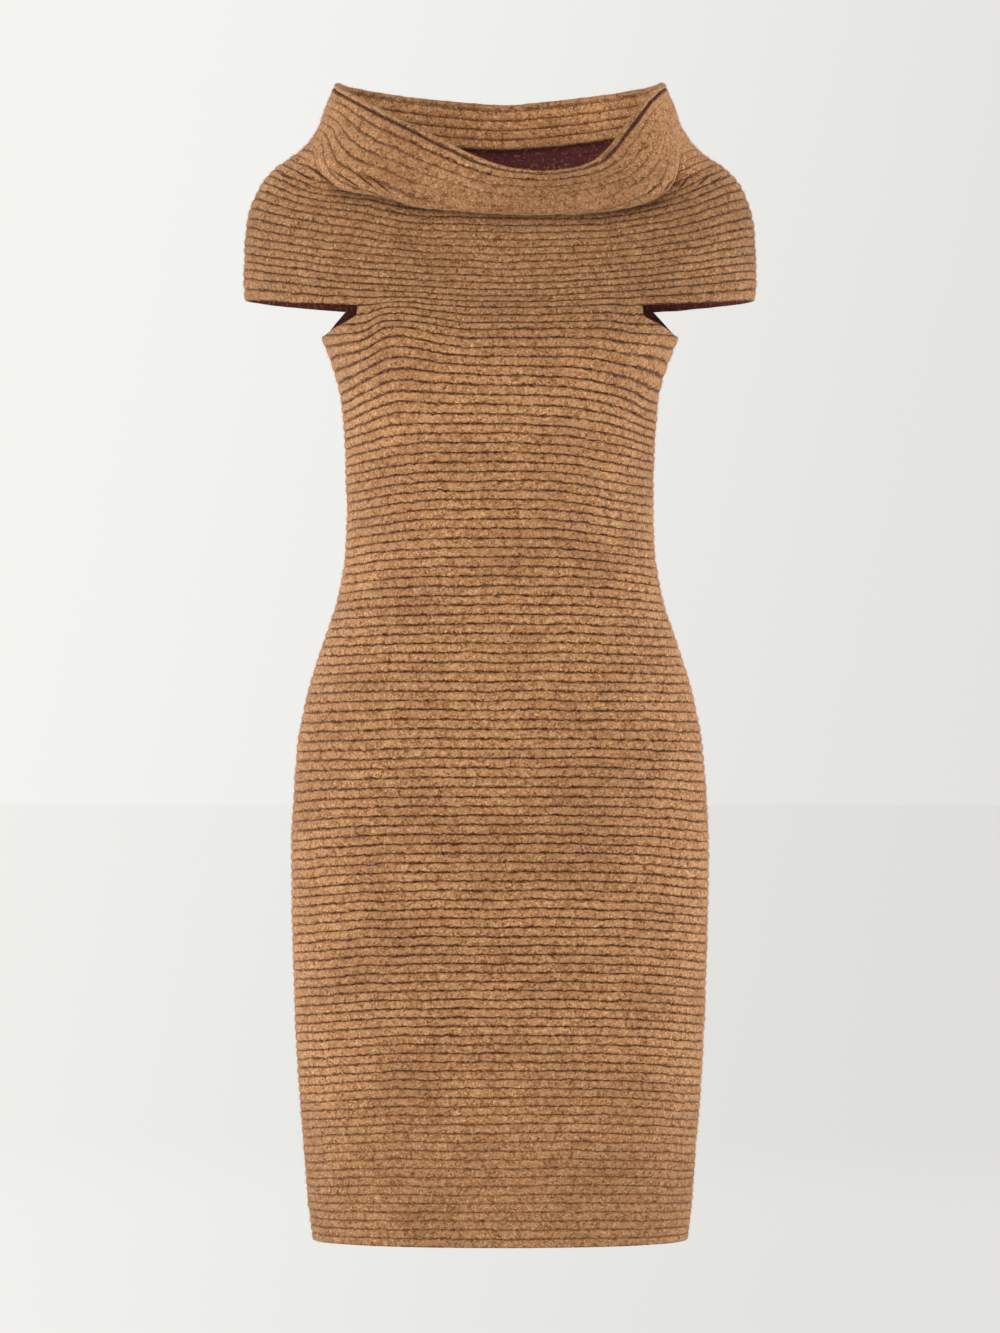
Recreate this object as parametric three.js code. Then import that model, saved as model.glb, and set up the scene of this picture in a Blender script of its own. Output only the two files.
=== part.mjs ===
// Off-the-shoulder ribbed sweater dress, filled out with no wearer.
// Millimetres, +Z up, front towards -Y. The origin is on the centre line, level with the upper arms.
// Every piece is a wall of knit. A course is one horizontal row of knitting, and each course is a rib.
// The wall's inner face is plain, and its outer face rises to a crest in the middle of each course.
import * as THREE from 'three';

// Cloth
const GROOVE_WALL = 2.4;      // wall between two ribs
const CREST_WALL = 4.2;       // wall at the crest of a rib
const SEAM_GAP = 0.3;         // clear distance between neighbouring pieces
const FACE_COLOUR = 0xa57650; // brushed camel yarn

// Courses, counted up from the hem
const UNDERARM = 99;          // top of the side seams
const SLEEVE_HEM = 102;       // level of the sleeve hems
const COLLAR_BASE = 119;      // seam between the panels and the collar
const COLLAR_TOP = 129;       // top edge of the collar's outer layer

// Grids. Angles round the body are in degrees: 0 is the front, 90 the viewer's right, 180 the back.
const PANEL_STRIPS = 10;
const SLEEVE_FRONT_STRIPS = 5;
const SLEEVE_BACK_STRIPS = 4;
const BODY_PLAIN_ROWS = 14;   // rows of points of the plain inner face from hem to underarm
const YOKE_PLAIN_ROWS = 7;    // and from sleeve hem to collar
const COURSE_PROBE = 0.02;    // steps used to measure slopes of the surface, in courses
const ANGLE_PROBE = 0.2;      // and in degrees

// Height of each course at the centre front
const COURSE_HEIGHTS = [
  { course: 0, height: -859 },
  { course: 39, height: -564 },
  { course: 60, height: -396 },
  { course: 95, height: -113.5 },
  { course: 99, height: -83 },
];

// Body from the hem to the underarm, outer sizes at each height.
// sideDrop is how far a course sinks from the centre to the side seam.
const BODY = [
  { height: -859, halfWidth: 161.5, front: 97, back: 94, squareness: 2.1, sideDrop: 0 },
  { height: -826, halfWidth: 165.6, front: 99, back: 97, squareness: 2.1, sideDrop: 4 },
  { height: -783, halfWidth: 169, front: 100, back: 100, squareness: 2.1, sideDrop: 8 },
  { height: -697, halfWidth: 175, front: 103, back: 107, squareness: 2.1, sideDrop: 10 },
  { height: -611, halfWidth: 178.5, front: 105, back: 114, squareness: 2.1, sideDrop: 10 },
  { height: -525, halfWidth: 179.7, front: 106, back: 120, squareness: 2.1, sideDrop: 9 },
  { height: -439, halfWidth: 175, front: 105, back: 113, squareness: 2.1, sideDrop: 5 },
  { height: -396, halfWidth: 167.3, front: 102, back: 103, squareness: 2.05, sideDrop: 3 },
  { height: -353, halfWidth: 154.8, front: 98, back: 93, squareness: 2.05, sideDrop: 4 },
  { height: -310, halfWidth: 140.6, front: 94, back: 86, squareness: 2.05, sideDrop: 6 },
  { height: -267, halfWidth: 133.7, front: 92, back: 82, squareness: 2.05, sideDrop: 8 },
  { height: -224, halfWidth: 132.4, front: 94, back: 82, squareness: 2.1, sideDrop: 9 },
  { height: -181, halfWidth: 133.3, front: 103, back: 86, squareness: 2.2, sideDrop: 9 },
  { height: -138, halfWidth: 137.2, front: 115, back: 90, squareness: 2.35, sideDrop: 8 },
  { height: -116, halfWidth: 141.9, front: 117, back: 92, squareness: 2.5, sideDrop: 5.5 },
  { height: -95, halfWidth: 149.2, front: 116, back: 93, squareness: 2.65, sideDrop: 2 },
  { height: -83, halfWidth: 153.8, front: 114, back: 93, squareness: 2.8, sideDrop: 0 },
];

const BODY_SIDE_POWER = 3;    // how late a body course leaves the centre's height for the side's

// Armhole edges: how far each panel reaches from the centre line between underarm and sleeve hem
const ARMHOLES = [
  { course: 99, frontReach: 153.8, backReach: 153.8 },
  { course: 100, frontReach: 137.5, backReach: 149.5 },
  { course: 101, frontReach: 122.8, backReach: 142 },
  { course: 102, frontReach: 121.5, backReach: 135.5 },
];

// Yoke and sleeves, outer sizes at each course. sidePower says how late a course leaves the centre's
// height for the side's: a high power keeps it level until it nears the arm.
const YOKE = [
  { course: 99, frontHeight: -83, sideHeight: -83, backHeight: -83, halfWidth: 153.8, front: 114,
    back: 93, squareness: 2.8, sidePower: 3 },
  { course: 100, frontHeight: -77, sideHeight: -73, backHeight: -75, halfWidth: 172, front: 113,
    back: 93, squareness: 2.5, sidePower: 3 },
  { course: 101, frontHeight: -70.5, sideHeight: -62.5, backHeight: -67, halfWidth: 197, front: 112.5,
    back: 93, squareness: 2.2, sidePower: 2.5 },
  { course: 102, frontHeight: -64, sideHeight: -51.5, backHeight: -59.5, halfWidth: 219.3, front: 112,
    back: 93, squareness: 2, sidePower: 2.2 },
  { course: 104, frontHeight: -54.3, sideHeight: -34.3, backHeight: -47, halfWidth: 220.8, front: 111,
    back: 93, squareness: 2, sidePower: 2.1 },
  { course: 107, frontHeight: -37.4, sideHeight: -13.4, backHeight: -28, halfWidth: 220.3, front: 109.5,
    back: 92.5, squareness: 2, sidePower: 2 },
  { course: 110, frontHeight: -19.3, sideHeight: 9.2, backHeight: -10, halfWidth: 218.8, front: 107,
    back: 92, squareness: 2, sidePower: 2.1 },
  { course: 114, frontHeight: 5.6, sideHeight: 41, backHeight: 15, halfWidth: 208.8, front: 101.5,
    back: 90.5, squareness: 2, sidePower: 2.4 },
  { course: 117, frontHeight: 23.6, sideHeight: 57.6, backHeight: 34, halfWidth: 195.5, front: 96.5,
    back: 88.5, squareness: 2, sidePower: 3 },
  { course: 119, frontHeight: 31, sideHeight: 66, backHeight: 46, halfWidth: 183.5, front: 93.5,
    back: 86.5, squareness: 2, sidePower: 1.8 },
];

// Collar as a plain funnel, outer sizes at a share of the way from its base to its top edge
const FUNNEL = [
  { share: 0, frontHeight: 31, sideHeight: 66, backHeight: 46, halfWidth: 183.5, front: 93.5, back: 86.5 },
  { share: 0.15, frontHeight: 33, sideHeight: 72.5, backHeight: 56, halfWidth: 174.5, front: 97,
    back: 84.5 },
  { share: 0.35, frontHeight: 36, sideHeight: 83, backHeight: 70.5, halfWidth: 164.8, front: 101,
    back: 82 },
  { share: 0.6, frontHeight: 40, sideHeight: 99, backHeight: 88.5, halfWidth: 155.5, front: 105, back: 79 },
  { share: 0.85, frontHeight: 45, sideHeight: 118, backHeight: 106, halfWidth: 149.5, front: 108.5,
    back: 76.5 },
  { share: 1, frontHeight: 48, sideHeight: 129, backHeight: 115.5, halfWidth: 144, front: 110.5, back: 75 },
];

// Height of the collar's top edge round the front half, lowest a little to the viewer's right
const NECK_EDGE = [
  { angle: -90, height: 129 },
  { angle: -75, height: 122 },
  { angle: -59, height: 111.5 },
  { angle: -35, height: 89 },
  { angle: -20, height: 72 },
  { angle: -7, height: 57 },
  { angle: 3, height: 49.8 },
  { angle: 14, height: 47 },
  { angle: 26, height: 50 },
  { angle: 36.5, height: 58 },
  { angle: 43, height: 69 },
  { angle: 52, height: 89.5 },
  { angle: 64.5, height: 112.5 },
  { angle: 76, height: 124 },
  { angle: 90, height: 129 },
];

const BACK_EDGE_POWER = 1.3;  // how the back of the neck edge sags between the sides

// Lowest line of the overhanging fold round the front, and how much of the fold is there
const OVERHANG = [
  { angle: -90, height: 66, depth: 0 },
  { angle: -80, height: 61, depth: 0 },
  { angle: -70, height: 51.5, depth: 0.2 },
  { angle: -62, height: 43, depth: 0.5 },
  { angle: -53, height: 37, depth: 0.75 },
  { angle: -44, height: 34.5, depth: 0.9 },
  { angle: -35, height: 32, depth: 1 },
  { angle: -29, height: 27, depth: 1 },
  { angle: -22, height: 21, depth: 1 },
  { angle: -13, height: 18, depth: 1 },
  { angle: 0, height: 14.5, depth: 1 },
  { angle: 18, height: 14, depth: 1 },
  { angle: 26, height: 17.5, depth: 1 },
  { angle: 33, height: 22.5, depth: 1 },
  { angle: 40, height: 27.5, depth: 1 },
  { angle: 49, height: 33, depth: 0.95 },
  { angle: 57, height: 37.5, depth: 0.8 },
  { angle: 65, height: 43.5, depth: 0.5 },
  { angle: 73, height: 52, depth: 0.2 },
  { angle: 82, height: 62, depth: 0 },
  { angle: 90, height: 66, depth: 0 },
];

// Section of the fold at its fullest, outward and upward from the collar's base: the cloth goes up behind,
// turns over at the top, comes down in front, turns at the bottom and rises towards the neck edge.
// share is the same point's place on the plain funnel, where the fold has died out.
const FOLD = [
  { outward: 0, upward: 0, share: 0 },
  { outward: -0.5, upward: 4, share: 0.06 },
  { outward: 2, upward: 8.5, share: 0.12 },
  { outward: 8, upward: 9, share: 0.18 },
  { outward: 11.5, upward: 4, share: 0.24 },
  { outward: 13, upward: -3, share: 0.31 },
  { outward: 15.5, upward: -8.5, share: 0.38 },
  { outward: 20, upward: -11.5, share: 0.44 },
  { outward: 24.5, upward: -8.5, share: 0.5 },
  { outward: 26.5, upward: -2, share: 0.56 },
];
const FOLD_LOW_POINT = 11.5 + CREST_WALL;  // base of the collar above the fold's lowest line
const UPPER_SHARE = 0.78;                  // one more place on the collar above the fold
const FRONT_BULGE = 1;                     // outward swell there at the front
const FOLD_STEPS = 90;                     // steps used to measure along the cloth

// Turned-in layer: courses that hang inside the neck edge, and the roll that covers the edge,
// its points outward from the collar's inner face and upward from its top edge
const TURNED_IN_BACK = 4.7;
const TURNED_IN_FRONT = 3.2;
const TURNED_RIBS = 4;
const TURNED_PLAIN_ROWS = 4;
const LAYER_GAP = 1.5;        // between the collar's inner face and the layer that hangs inside it
const EDGE_GAP = 0.6;         // between the collar's top edge and the roll over it
const ROLL = [
  { outward: 3.2, upward: 0.8 },
  { outward: 3.7, upward: 2 },
  { outward: 2.6, upward: 4.6 },
  { outward: -0.6, upward: 5.6 },
  { outward: -3.6, upward: 4.4 },
  { outward: -4.5, upward: 2.2 },
];

const radians = (degrees) => degrees * Math.PI / 180;

/** Value of a named column at a key, on a curve through a table's rows that makes no extra humps. */
function lookUp(table, keyName, valueName, key) {
  const last = table.length - 1;
  if (key <= table[0][keyName]) return table[0][valueName];
  if (key >= table[last][keyName]) return table[last][valueName];
  let low = 0;
  while (table[low + 1][keyName] < key) low += 1;
  const slope = (i) => (table[i + 1][valueName] - table[i][valueName])
    / (table[i + 1][keyName] - table[i][keyName]);
  const tangent = (i) => {
    if (i === 0) return slope(0);
    if (i === last) return slope(last - 1);
    const [before, after] = [slope(i - 1), slope(i)];
    return before * after <= 0 ? 0 : 2 * before * after / (before + after);
  };
  const width = table[low + 1][keyName] - table[low][keyName];
  const t = (key - table[low][keyName]) / width;
  const [from, to] = [table[low][valueName], table[low + 1][valueName]];
  return from * (1 + 2 * t) * (1 - t) ** 2 + width * tangent(low) * t * (1 - t) ** 2
    + to * t * t * (3 - 2 * t) + width * tangent(low + 1) * t * t * (t - 1);
}

/** Point on a section with a half width, a front or back depth and a squareness (2 is an ellipse). */
function onSection(angle, halfWidth, front, back, squareness, height) {
  const [across, along] = [Math.sin(radians(angle)), Math.cos(radians(angle))];
  const depth = along > 0 ? front : back;
  const power = 2 / squareness;
  return new THREE.Vector3(
    (halfWidth - CREST_WALL) * Math.sign(across) * Math.abs(across) ** power,
    -(depth - CREST_WALL) * Math.sign(along) * Math.abs(along) ** power,
    height,
  );
}

/** Point of the inner face between the hem and the underarm. */
function bodyPoint(course, angle) {
  const centre = lookUp(COURSE_HEIGHTS, 'course', 'height', course);
  const size = (name) => lookUp(BODY, 'height', name, centre);
  const side = centre - size('sideDrop');
  const halfWidth = lookUp(BODY, 'height', 'halfWidth', side);
  const height = heightRound(angle, centre, side, BODY_SIDE_POWER);
  return onSection(angle, halfWidth, size('front'), size('back'), size('squareness'), height);
}

/** Height between a centre value and a side value at an angle. */
function heightRound(angle, centre, side, power) {
  return centre + (side - centre) * Math.abs(Math.sin(radians(angle))) ** power;
}

/** Point of the inner face from the underarm to the collar's base. */
function yokePoint(course, angle) {
  const size = (name) => lookUp(YOKE, 'course', name, course);
  const centre = Math.cos(radians(angle)) > 0 ? size('frontHeight') : size('backHeight');
  const plain = heightRound(angle, centre, size('sideHeight'), size('sidePower'));
  const lift = Math.max(0, (course - SLEEVE_HEM) / (COLLAR_BASE - SLEEVE_HEM)) ** 2;
  const height = plain + lift * (baseHeight(angle) - plainBaseHeight(angle));
  return onSection(angle, size('halfWidth'), size('front'), size('back'), size('squareness'), height);
}

/** Height of the collar's base from the yoke's own sections. */
function plainBaseHeight(angle) {
  const top = YOKE[YOKE.length - 1];
  const centre = Math.cos(radians(angle)) > 0 ? top.frontHeight : top.backHeight;
  return heightRound(angle, centre, top.sideHeight, top.sidePower);
}

/** Height of the collar's base, kept above the overhang's lowest line at the front. */
function baseHeight(angle) {
  const depth = lookUp(OVERHANG, 'angle', 'depth', angle);
  const hidden = lookUp(OVERHANG, 'angle', 'height', angle) + FOLD_LOW_POINT;
  return plainBaseHeight(angle) * (1 - depth) + hidden * depth;
}

/** Point of the collar as a plain funnel. */
function funnelPoint(share, angle) {
  const size = (name) => lookUp(FUNNEL, 'share', name, share);
  const atFront = Math.cos(radians(angle)) > 0;
  const [base, top] = [FUNNEL[0], FUNNEL[FUNNEL.length - 1]];
  const columnName = atFront ? 'frontHeight' : 'backHeight';
  const progress = (name) => (size(name) - base[name]) / (top[name] - base[name]);
  const side = Math.abs(Math.sin(radians(angle))) ** 2;
  const rise = progress(columnName) * (1 - side) + progress('sideHeight') * side;
  const edge = atFront ? lookUp(NECK_EDGE, 'angle', 'height', angle)
    : heightRound(angle, top.backHeight, top.sideHeight, BACK_EDGE_POWER);
  const height = baseHeight(angle) * (1 - rise) + edge * rise;
  return onSection(angle, size('halfWidth'), size('front'), size('back'), 2, height);
}

const collarPaths = new Map();

/** Curve from the collar's base to its top edge at one angle: the funnel, laid into the fold at its depth. */
function collarPath(angle) {
  const name = angle.toFixed(4);
  if (!collarPaths.has(name)) {
    const depth = Math.cos(radians(angle)) > 0 ? lookUp(OVERHANG, 'angle', 'depth', angle) : 0;
    const base = funnelPoint(0, angle);
    const edge = funnelPoint(1, angle);
    const outward = new THREE.Vector3(
      Math.sin(radians(angle)) * FUNNEL[0].front / FUNNEL[0].halfWidth,
      -Math.cos(radians(angle)),
      0,
    ).normalize();
    const placed = (row) => base.clone().addScaledVector(outward, row.outward)
      .add(new THREE.Vector3(0, 0, row.upward));
    const points = FOLD.map((row) => funnelPoint(row.share, angle).lerp(placed(row), depth));
    const bulged = placed(FOLD[FOLD.length - 1]).lerp(edge, 0.5).addScaledVector(outward, FRONT_BULGE);
    points.push(funnelPoint(UPPER_SHARE, angle).lerp(bulged, depth), edge);
    const path = new THREE.CatmullRomCurve3(points, false, 'centripetal');
    path.arcLengthDivisions = FOLD_STEPS;
    collarPaths.set(name, path);
  }
  return collarPaths.get(name);
}

/** Point of the collar's inner face, its courses evenly spaced along the cloth. */
function collarPoint(course, angle) {
  const share = (course - COLLAR_BASE) / (COLLAR_TOP - COLLAR_BASE);
  return collarPath(angle).getPointAt(THREE.MathUtils.clamp(share, 0, 1));
}

/** Point of the whole garment's inner face. */
function innerPoint(course, angle) {
  if (course <= UNDERARM) return bodyPoint(course, angle);
  if (course <= COLLAR_BASE) return yokePoint(course, angle);
  return collarPoint(course, angle);
}

/** Inner point with its outward direction, its direction up the cloth and its direction round the body. */
function frameAt(course, angle) {
  const below = innerPoint(Math.max(0, course - COURSE_PROBE), angle);
  const above = innerPoint(Math.min(COLLAR_TOP, course + COURSE_PROBE), angle);
  const before = innerPoint(course, angle - ANGLE_PROBE);
  const after = innerPoint(course, angle + ANGLE_PROBE);
  const up = above.sub(below).normalize();
  const round = after.sub(before).normalize();
  const out = new THREE.Vector3().crossVectors(round, up).normalize();
  return { at: innerPoint(course, angle), out, up, round };
}

/** Wall thickness at a course: thin in the grooves at whole courses, thick at the crests between. */
function wallAt(course) {
  const ridge = Math.sin(Math.PI * (course - Math.floor(course)));
  return GROOVE_WALL + (CREST_WALL - GROOVE_WALL) * ridge;
}

/** List of evenly spaced values from one end to the other. */
function spread(from, to, steps) {
  return Array.from({ length: steps + 1 }, (unused, i) => from + (to - from) * i / steps);
}

/** Courses at every rib's groove and crest. */
function ribCourses(from, to) {
  return spread(from, to, Math.round((to - from) * 2));
}

/** Angle at which a panel's edge lies on a course, from how far the panel reaches. */
function edgeAngle(course, reachName) {
  if (course <= UNDERARM) return 90;
  const level = Math.min(course, SLEEVE_HEM);
  const reach = lookUp(ARMHOLES, 'course', reachName, level) / lookUp(YOKE, 'course', 'halfWidth', level);
  const power = lookUp(YOKE, 'course', 'squareness', level) / 2;
  return THREE.MathUtils.radToDeg(Math.asin(Math.min(1, reach ** power)));
}

/** Geometry from a flat list of coordinates and a list of triangles' corners. */
function indexedGeometry(positions, index) {
  const geometry = new THREE.BufferGeometry();
  geometry.setAttribute('position', new THREE.Float32BufferAttribute(positions, 3));
  geometry.setIndex(index);
  geometry.computeVertexNormals();
  return geometry;
}

/** Closed wall from a grid of outer points and a coarser grid of inner points with the same columns. */
function wallGeometry(outer, outerCourses, inner, innerCourses) {
  const positions = [];
  const index = [];
  const keep = (grid) => grid.map((row) => row.map((p) => positions.push(p.x, p.y, p.z) / 3 - 1));
  const [outside, inside] = [keep(outer), keep(inner)];
  const columns = outer[0].length;
  const quad = (a, b, c, d) => index.push(a, b, c, a, c, d);
  for (let r = 0; r + 1 < outside.length; r += 1) {
    for (let c = 0; c + 1 < columns; c += 1) {
      quad(outside[r][c], outside[r][c + 1], outside[r + 1][c + 1], outside[r + 1][c]);
    }
  }
  for (let r = 0; r + 1 < inside.length; r += 1) {
    for (let c = 0; c + 1 < columns; c += 1) {
      quad(inside[r][c], inside[r + 1][c], inside[r + 1][c + 1], inside[r][c + 1]);
    }
  }
  const [outTop, inTop] = [outside[outside.length - 1], inside[inside.length - 1]];
  for (let c = 0; c + 1 < columns; c += 1) {
    quad(outside[0][c + 1], outside[0][c], inside[0][c], inside[0][c + 1]);
    quad(outTop[c], outTop[c + 1], inTop[c + 1], inTop[c]);
  }
  for (const [column, flip] of [[0, false], [columns - 1, true]]) {
    let [o, i] = [0, 0];
    while (o + 1 < outside.length || i + 1 < inside.length) {
      const stepOuter = i + 1 >= inside.length
        || (o + 1 < outside.length && outerCourses[o + 1] <= innerCourses[i + 1]);
      const [a, b] = [outside[o][column], inside[i][column]];
      const c = stepOuter ? outside[o + 1][column] : inside[i + 1][column];
      index.push(...(flip ? [a, b, c] : [a, c, b]));
      if (stepOuter) o += 1; else i += 1;
    }
  }
  return indexedGeometry(positions, index);
}

/** Wall over the angles given for each course, with a seam gap at its sides and at the named edges. */
function knitWall({ anglesAt, outerCourses, innerCourses, gaps }) {
  const half = SEAM_GAP / 2;
  const [from, to] = [outerCourses[0], outerCourses[outerCourses.length - 1]];
  const rowOfPoints = (course, thickness) => anglesAt(course).map((angle, column, angles) => {
    const { at, out, up, round } = frameAt(course, angle);
    const place = at.addScaledVector(out, thickness);
    if (column === 0) place.addScaledVector(round, half);
    if (column === angles.length - 1) place.addScaledVector(round, -half);
    if (course === from && gaps.includes('bottom')) place.addScaledVector(up, half);
    if (course === to && gaps.includes('top')) place.addScaledVector(up, -half);
    return place;
  });
  const outer = outerCourses.map((course) => rowOfPoints(course, wallAt(course)));
  const inner = innerCourses.map((course) => rowOfPoints(course, 0));
  return wallGeometry(outer, outerCourses, inner, innerCourses);
}

/** Turned-in layer: a section that climbs inside the collar, rolls over its edge and hangs to the neck. */
function turnedInGeometry(angles) {
  const section = (angle) => {
    const toBack = (1 - Math.cos(radians(angle))) / 2;
    const depth = TURNED_IN_FRONT + (TURNED_IN_BACK - TURNED_IN_FRONT) * toBack;
    const behind = spread(depth, 0, TURNED_PLAIN_ROWS).map((down) => {
      const { at, out } = frameAt(COLLAR_TOP - down, angle);
      return at.addScaledVector(out, -LAYER_GAP);
    });
    const edge = frameAt(COLLAR_TOP, angle);
    behind[TURNED_PLAIN_ROWS].addScaledVector(edge.up, EDGE_GAP);
    const roll = ROLL.map((row) => edge.at.clone().addScaledVector(edge.out, row.outward)
      .addScaledVector(edge.up, row.upward));
    const ribs = spread(0, TURNED_RIBS, TURNED_RIBS * 2).map((rib) => {
      const { at, out } = frameAt(COLLAR_TOP - depth * rib / TURNED_RIBS, angle);
      return at.addScaledVector(out, -LAYER_GAP - wallAt(rib));
    });
    return [...behind, ...roll, ...ribs];
  };
  const sections = angles.map(section);
  const sides = sections[0].length;
  const positions = sections.flat().flatMap((p) => [p.x, p.y, p.z]);
  const index = [];
  for (let i = 0; i < angles.length; i += 1) {
    for (let j = 0; j < sides; j += 1) {
      const [here, next] = [i * sides, ((i + 1) % angles.length) * sides];
      const along = (j + 1) % sides;
      index.push(here + j, next + j, next + along, here + j, next + along, here + along);
    }
  }
  return indexedGeometry(positions, index);
}

/** Named mesh with its own material. */
function piece(name, geometry) {
  const material = new THREE.MeshStandardMaterial({ color: FACE_COLOUR, roughness: 0.95, metalness: 0 });
  const mesh = new THREE.Mesh(geometry, material);
  mesh.name = name;
  return mesh;
}

const bodyPlain = spread(0, UNDERARM, BODY_PLAIN_ROWS);
const armholePlain = spread(UNDERARM + 1, SLEEVE_HEM - 1, SLEEVE_HEM - UNDERARM - 2);
const yokePlain = spread(SLEEVE_HEM, COLLAR_BASE, YOKE_PLAIN_ROWS);
const frontSeam = edgeAngle(SLEEVE_HEM, 'frontReach');
const backSeam = 180 - edgeAngle(SLEEVE_HEM, 'backReach');

// The same columns run through both pieces of a seam, so their edges match
const frontAngles = (course) => {
  const edge = edgeAngle(course, 'frontReach');
  return spread(-edge, edge, PANEL_STRIPS);
};
const backAngles = (course) => {
  const edge = edgeAngle(course, 'backReach');
  return spread(180 - edge, 180 + edge, PANEL_STRIPS);
};
const rightFront = spread(frontSeam, 90, SLEEVE_FRONT_STRIPS);
const rightBack = spread(90, backSeam, SLEEVE_BACK_STRIPS);
const rightAngles = [...rightFront, ...rightBack.slice(1)];
const mirrored = (angles) => angles.map((angle) => -angle).reverse();
const collarFrontAngles = [
  ...mirrored(rightFront), ...frontAngles(COLLAR_BASE).slice(1, -1), ...rightFront,
];
const collarBackAngles = [
  ...rightBack,
  ...backAngles(COLLAR_BASE).slice(1, -1),
  ...mirrored(rightBack).map((angle) => angle + 360),
];

const panel = {
  outerCourses: ribCourses(0, COLLAR_BASE),
  innerCourses: [...bodyPlain, ...armholePlain, ...yokePlain],
  gaps: ['top'],
};
const sleeve = {
  outerCourses: ribCourses(SLEEVE_HEM, COLLAR_BASE),
  innerCourses: yokePlain,
  gaps: ['top'],
};
const collar = {
  outerCourses: ribCourses(COLLAR_BASE, COLLAR_TOP),
  innerCourses: ribCourses(COLLAR_BASE, COLLAR_TOP),
  gaps: ['bottom'],
};
const collarBack = {
  ...collar,
  innerCourses: spread(COLLAR_BASE, COLLAR_TOP, COLLAR_TOP - COLLAR_BASE),
};
const neckAngles = [...collarFrontAngles.slice(0, -1), ...collarBackAngles.slice(0, -1)];

const dress = new THREE.Group();
dress.add(
  piece('front_panel', knitWall({ ...panel, anglesAt: frontAngles })),
  piece('back_panel', knitWall({ ...panel, anglesAt: backAngles })),
  piece('sleeve_left', knitWall({ ...sleeve, anglesAt: () => mirrored(rightAngles) })),
  piece('sleeve_right', knitWall({ ...sleeve, anglesAt: () => rightAngles })),
  piece('collar_front', knitWall({ ...collar, anglesAt: () => collarFrontAngles })),
  piece('collar_back', knitWall({ ...collarBack, anglesAt: () => collarBackAngles })),
  piece('collar_turned_in', turnedInGeometry(neckAngles)),
);

export default dress;
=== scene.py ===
# %% [markdown]
# # An off-the-shoulder ribbed sweater dress
# The dress is a heavy knit in horizontal ribs. Camel yarn, brushed until it is fuzzy, covers the ribs,
# and a dark plum yarn shows in the grooves and inside. It stands filled out, as if worn by nobody.
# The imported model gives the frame. Everything here is laid over it, in metres, at the same places.

# %% Load the frame
import math

import bpy
import numpy as np
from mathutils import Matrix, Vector


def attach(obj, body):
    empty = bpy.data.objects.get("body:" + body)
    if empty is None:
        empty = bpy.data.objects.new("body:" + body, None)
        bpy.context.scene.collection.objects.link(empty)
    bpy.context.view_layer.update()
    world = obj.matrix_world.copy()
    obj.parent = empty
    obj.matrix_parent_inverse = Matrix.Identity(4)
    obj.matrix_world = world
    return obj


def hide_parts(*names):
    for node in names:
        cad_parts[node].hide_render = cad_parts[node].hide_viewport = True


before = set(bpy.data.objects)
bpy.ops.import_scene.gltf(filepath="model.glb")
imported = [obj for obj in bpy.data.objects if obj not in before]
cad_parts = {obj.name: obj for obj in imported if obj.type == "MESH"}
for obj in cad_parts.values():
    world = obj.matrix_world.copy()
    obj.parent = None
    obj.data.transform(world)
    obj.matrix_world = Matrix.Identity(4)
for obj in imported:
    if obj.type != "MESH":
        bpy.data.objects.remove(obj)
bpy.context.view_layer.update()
MM = 0.001

# %% [markdown]
# ## Camera, light and floor
# A catalogue picture of clothes is taken from far away, so that nothing bulges towards the lens.
# The hem helps to find the distance: its front shows a little lower than its sides, which a camera
# about 6 m away, level with the middle of the dress, explains. A long lens then fills the picture.

# %% Camera
CAMERA_DISTANCE = 6.0
PICTURE_HEIGHT = 1146 * MM      # what the picture's height covers at the side seams
CAMERA_HEIGHT = -367 * MM       # the middle of the picture, below the upper arms
SENSOR = 36.0

camera_data = bpy.data.cameras.new("camera")
camera_data.sensor_width = SENSOR
camera_data.lens = SENSOR * CAMERA_DISTANCE / PICTURE_HEIGHT
camera_data.clip_end = 60
camera = bpy.data.objects.new("camera", camera_data)
camera.location = (0, -CAMERA_DISTANCE, CAMERA_HEIGHT)
camera.rotation_euler = (math.radians(90), 0, 0)
bpy.context.scene.collection.objects.link(camera)
bpy.context.scene.camera = camera
bpy.context.scene.view_settings.view_transform = "Standard"
print("lens", round(camera_data.lens, 1), "mm")

# %% [markdown]
# The light is that of a white studio. A large soft box in front gives the cloth its modelling and
# reaches into the collar, two more a little behind make the rounded sides paler, and the white room
# fills the rest. The room's own white, a little greyer to the right, is what the camera sees.

# %% Soft boxes
ROOM_FILL = 0.44
SOFT_BOXES = [
    {"name": "front_box", "place": (-0.5, -2.7, -0.5), "width": 1.8, "height": 1.8, "watts": 37},
    {"name": "top_box", "place": (-0.2, -2.2, 1.9), "width": 1.0, "height": 1.0, "watts": 16},
    {"name": "left_box", "place": (-1.9, 0.35, -0.45), "width": 0.8, "height": 1.7, "watts": 28},
    {"name": "right_box", "place": (1.9, 0.35, -0.45), "width": 0.8, "height": 1.7, "watts": 32},
    {"name": "back_box", "place": (0.6, 3.4, 1.2), "width": 2.4, "height": 2.4, "watts": 40},
]
LIGHT_TARGET = Vector((0, 0, -0.35))

for box in SOFT_BOXES:
    light_data = bpy.data.lights.new(box["name"], "AREA")
    light_data.shape = "RECTANGLE"
    light_data.size = box["width"]
    light_data.size_y = box["height"]
    light_data.energy = box["watts"]
    light = bpy.data.objects.new(box["name"], light_data)
    light.location = box["place"]
    light.rotation_euler = (LIGHT_TARGET - light.location).to_track_quat("-Z", "Y").to_euler()
    bpy.context.scene.collection.objects.link(light)
print("soft boxes", len(SOFT_BOXES))

# %% [markdown]
# The room, the floor and the yarn are all made of shader nodes. A few short names for adding and
# linking them keep the cells below readable.

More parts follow.
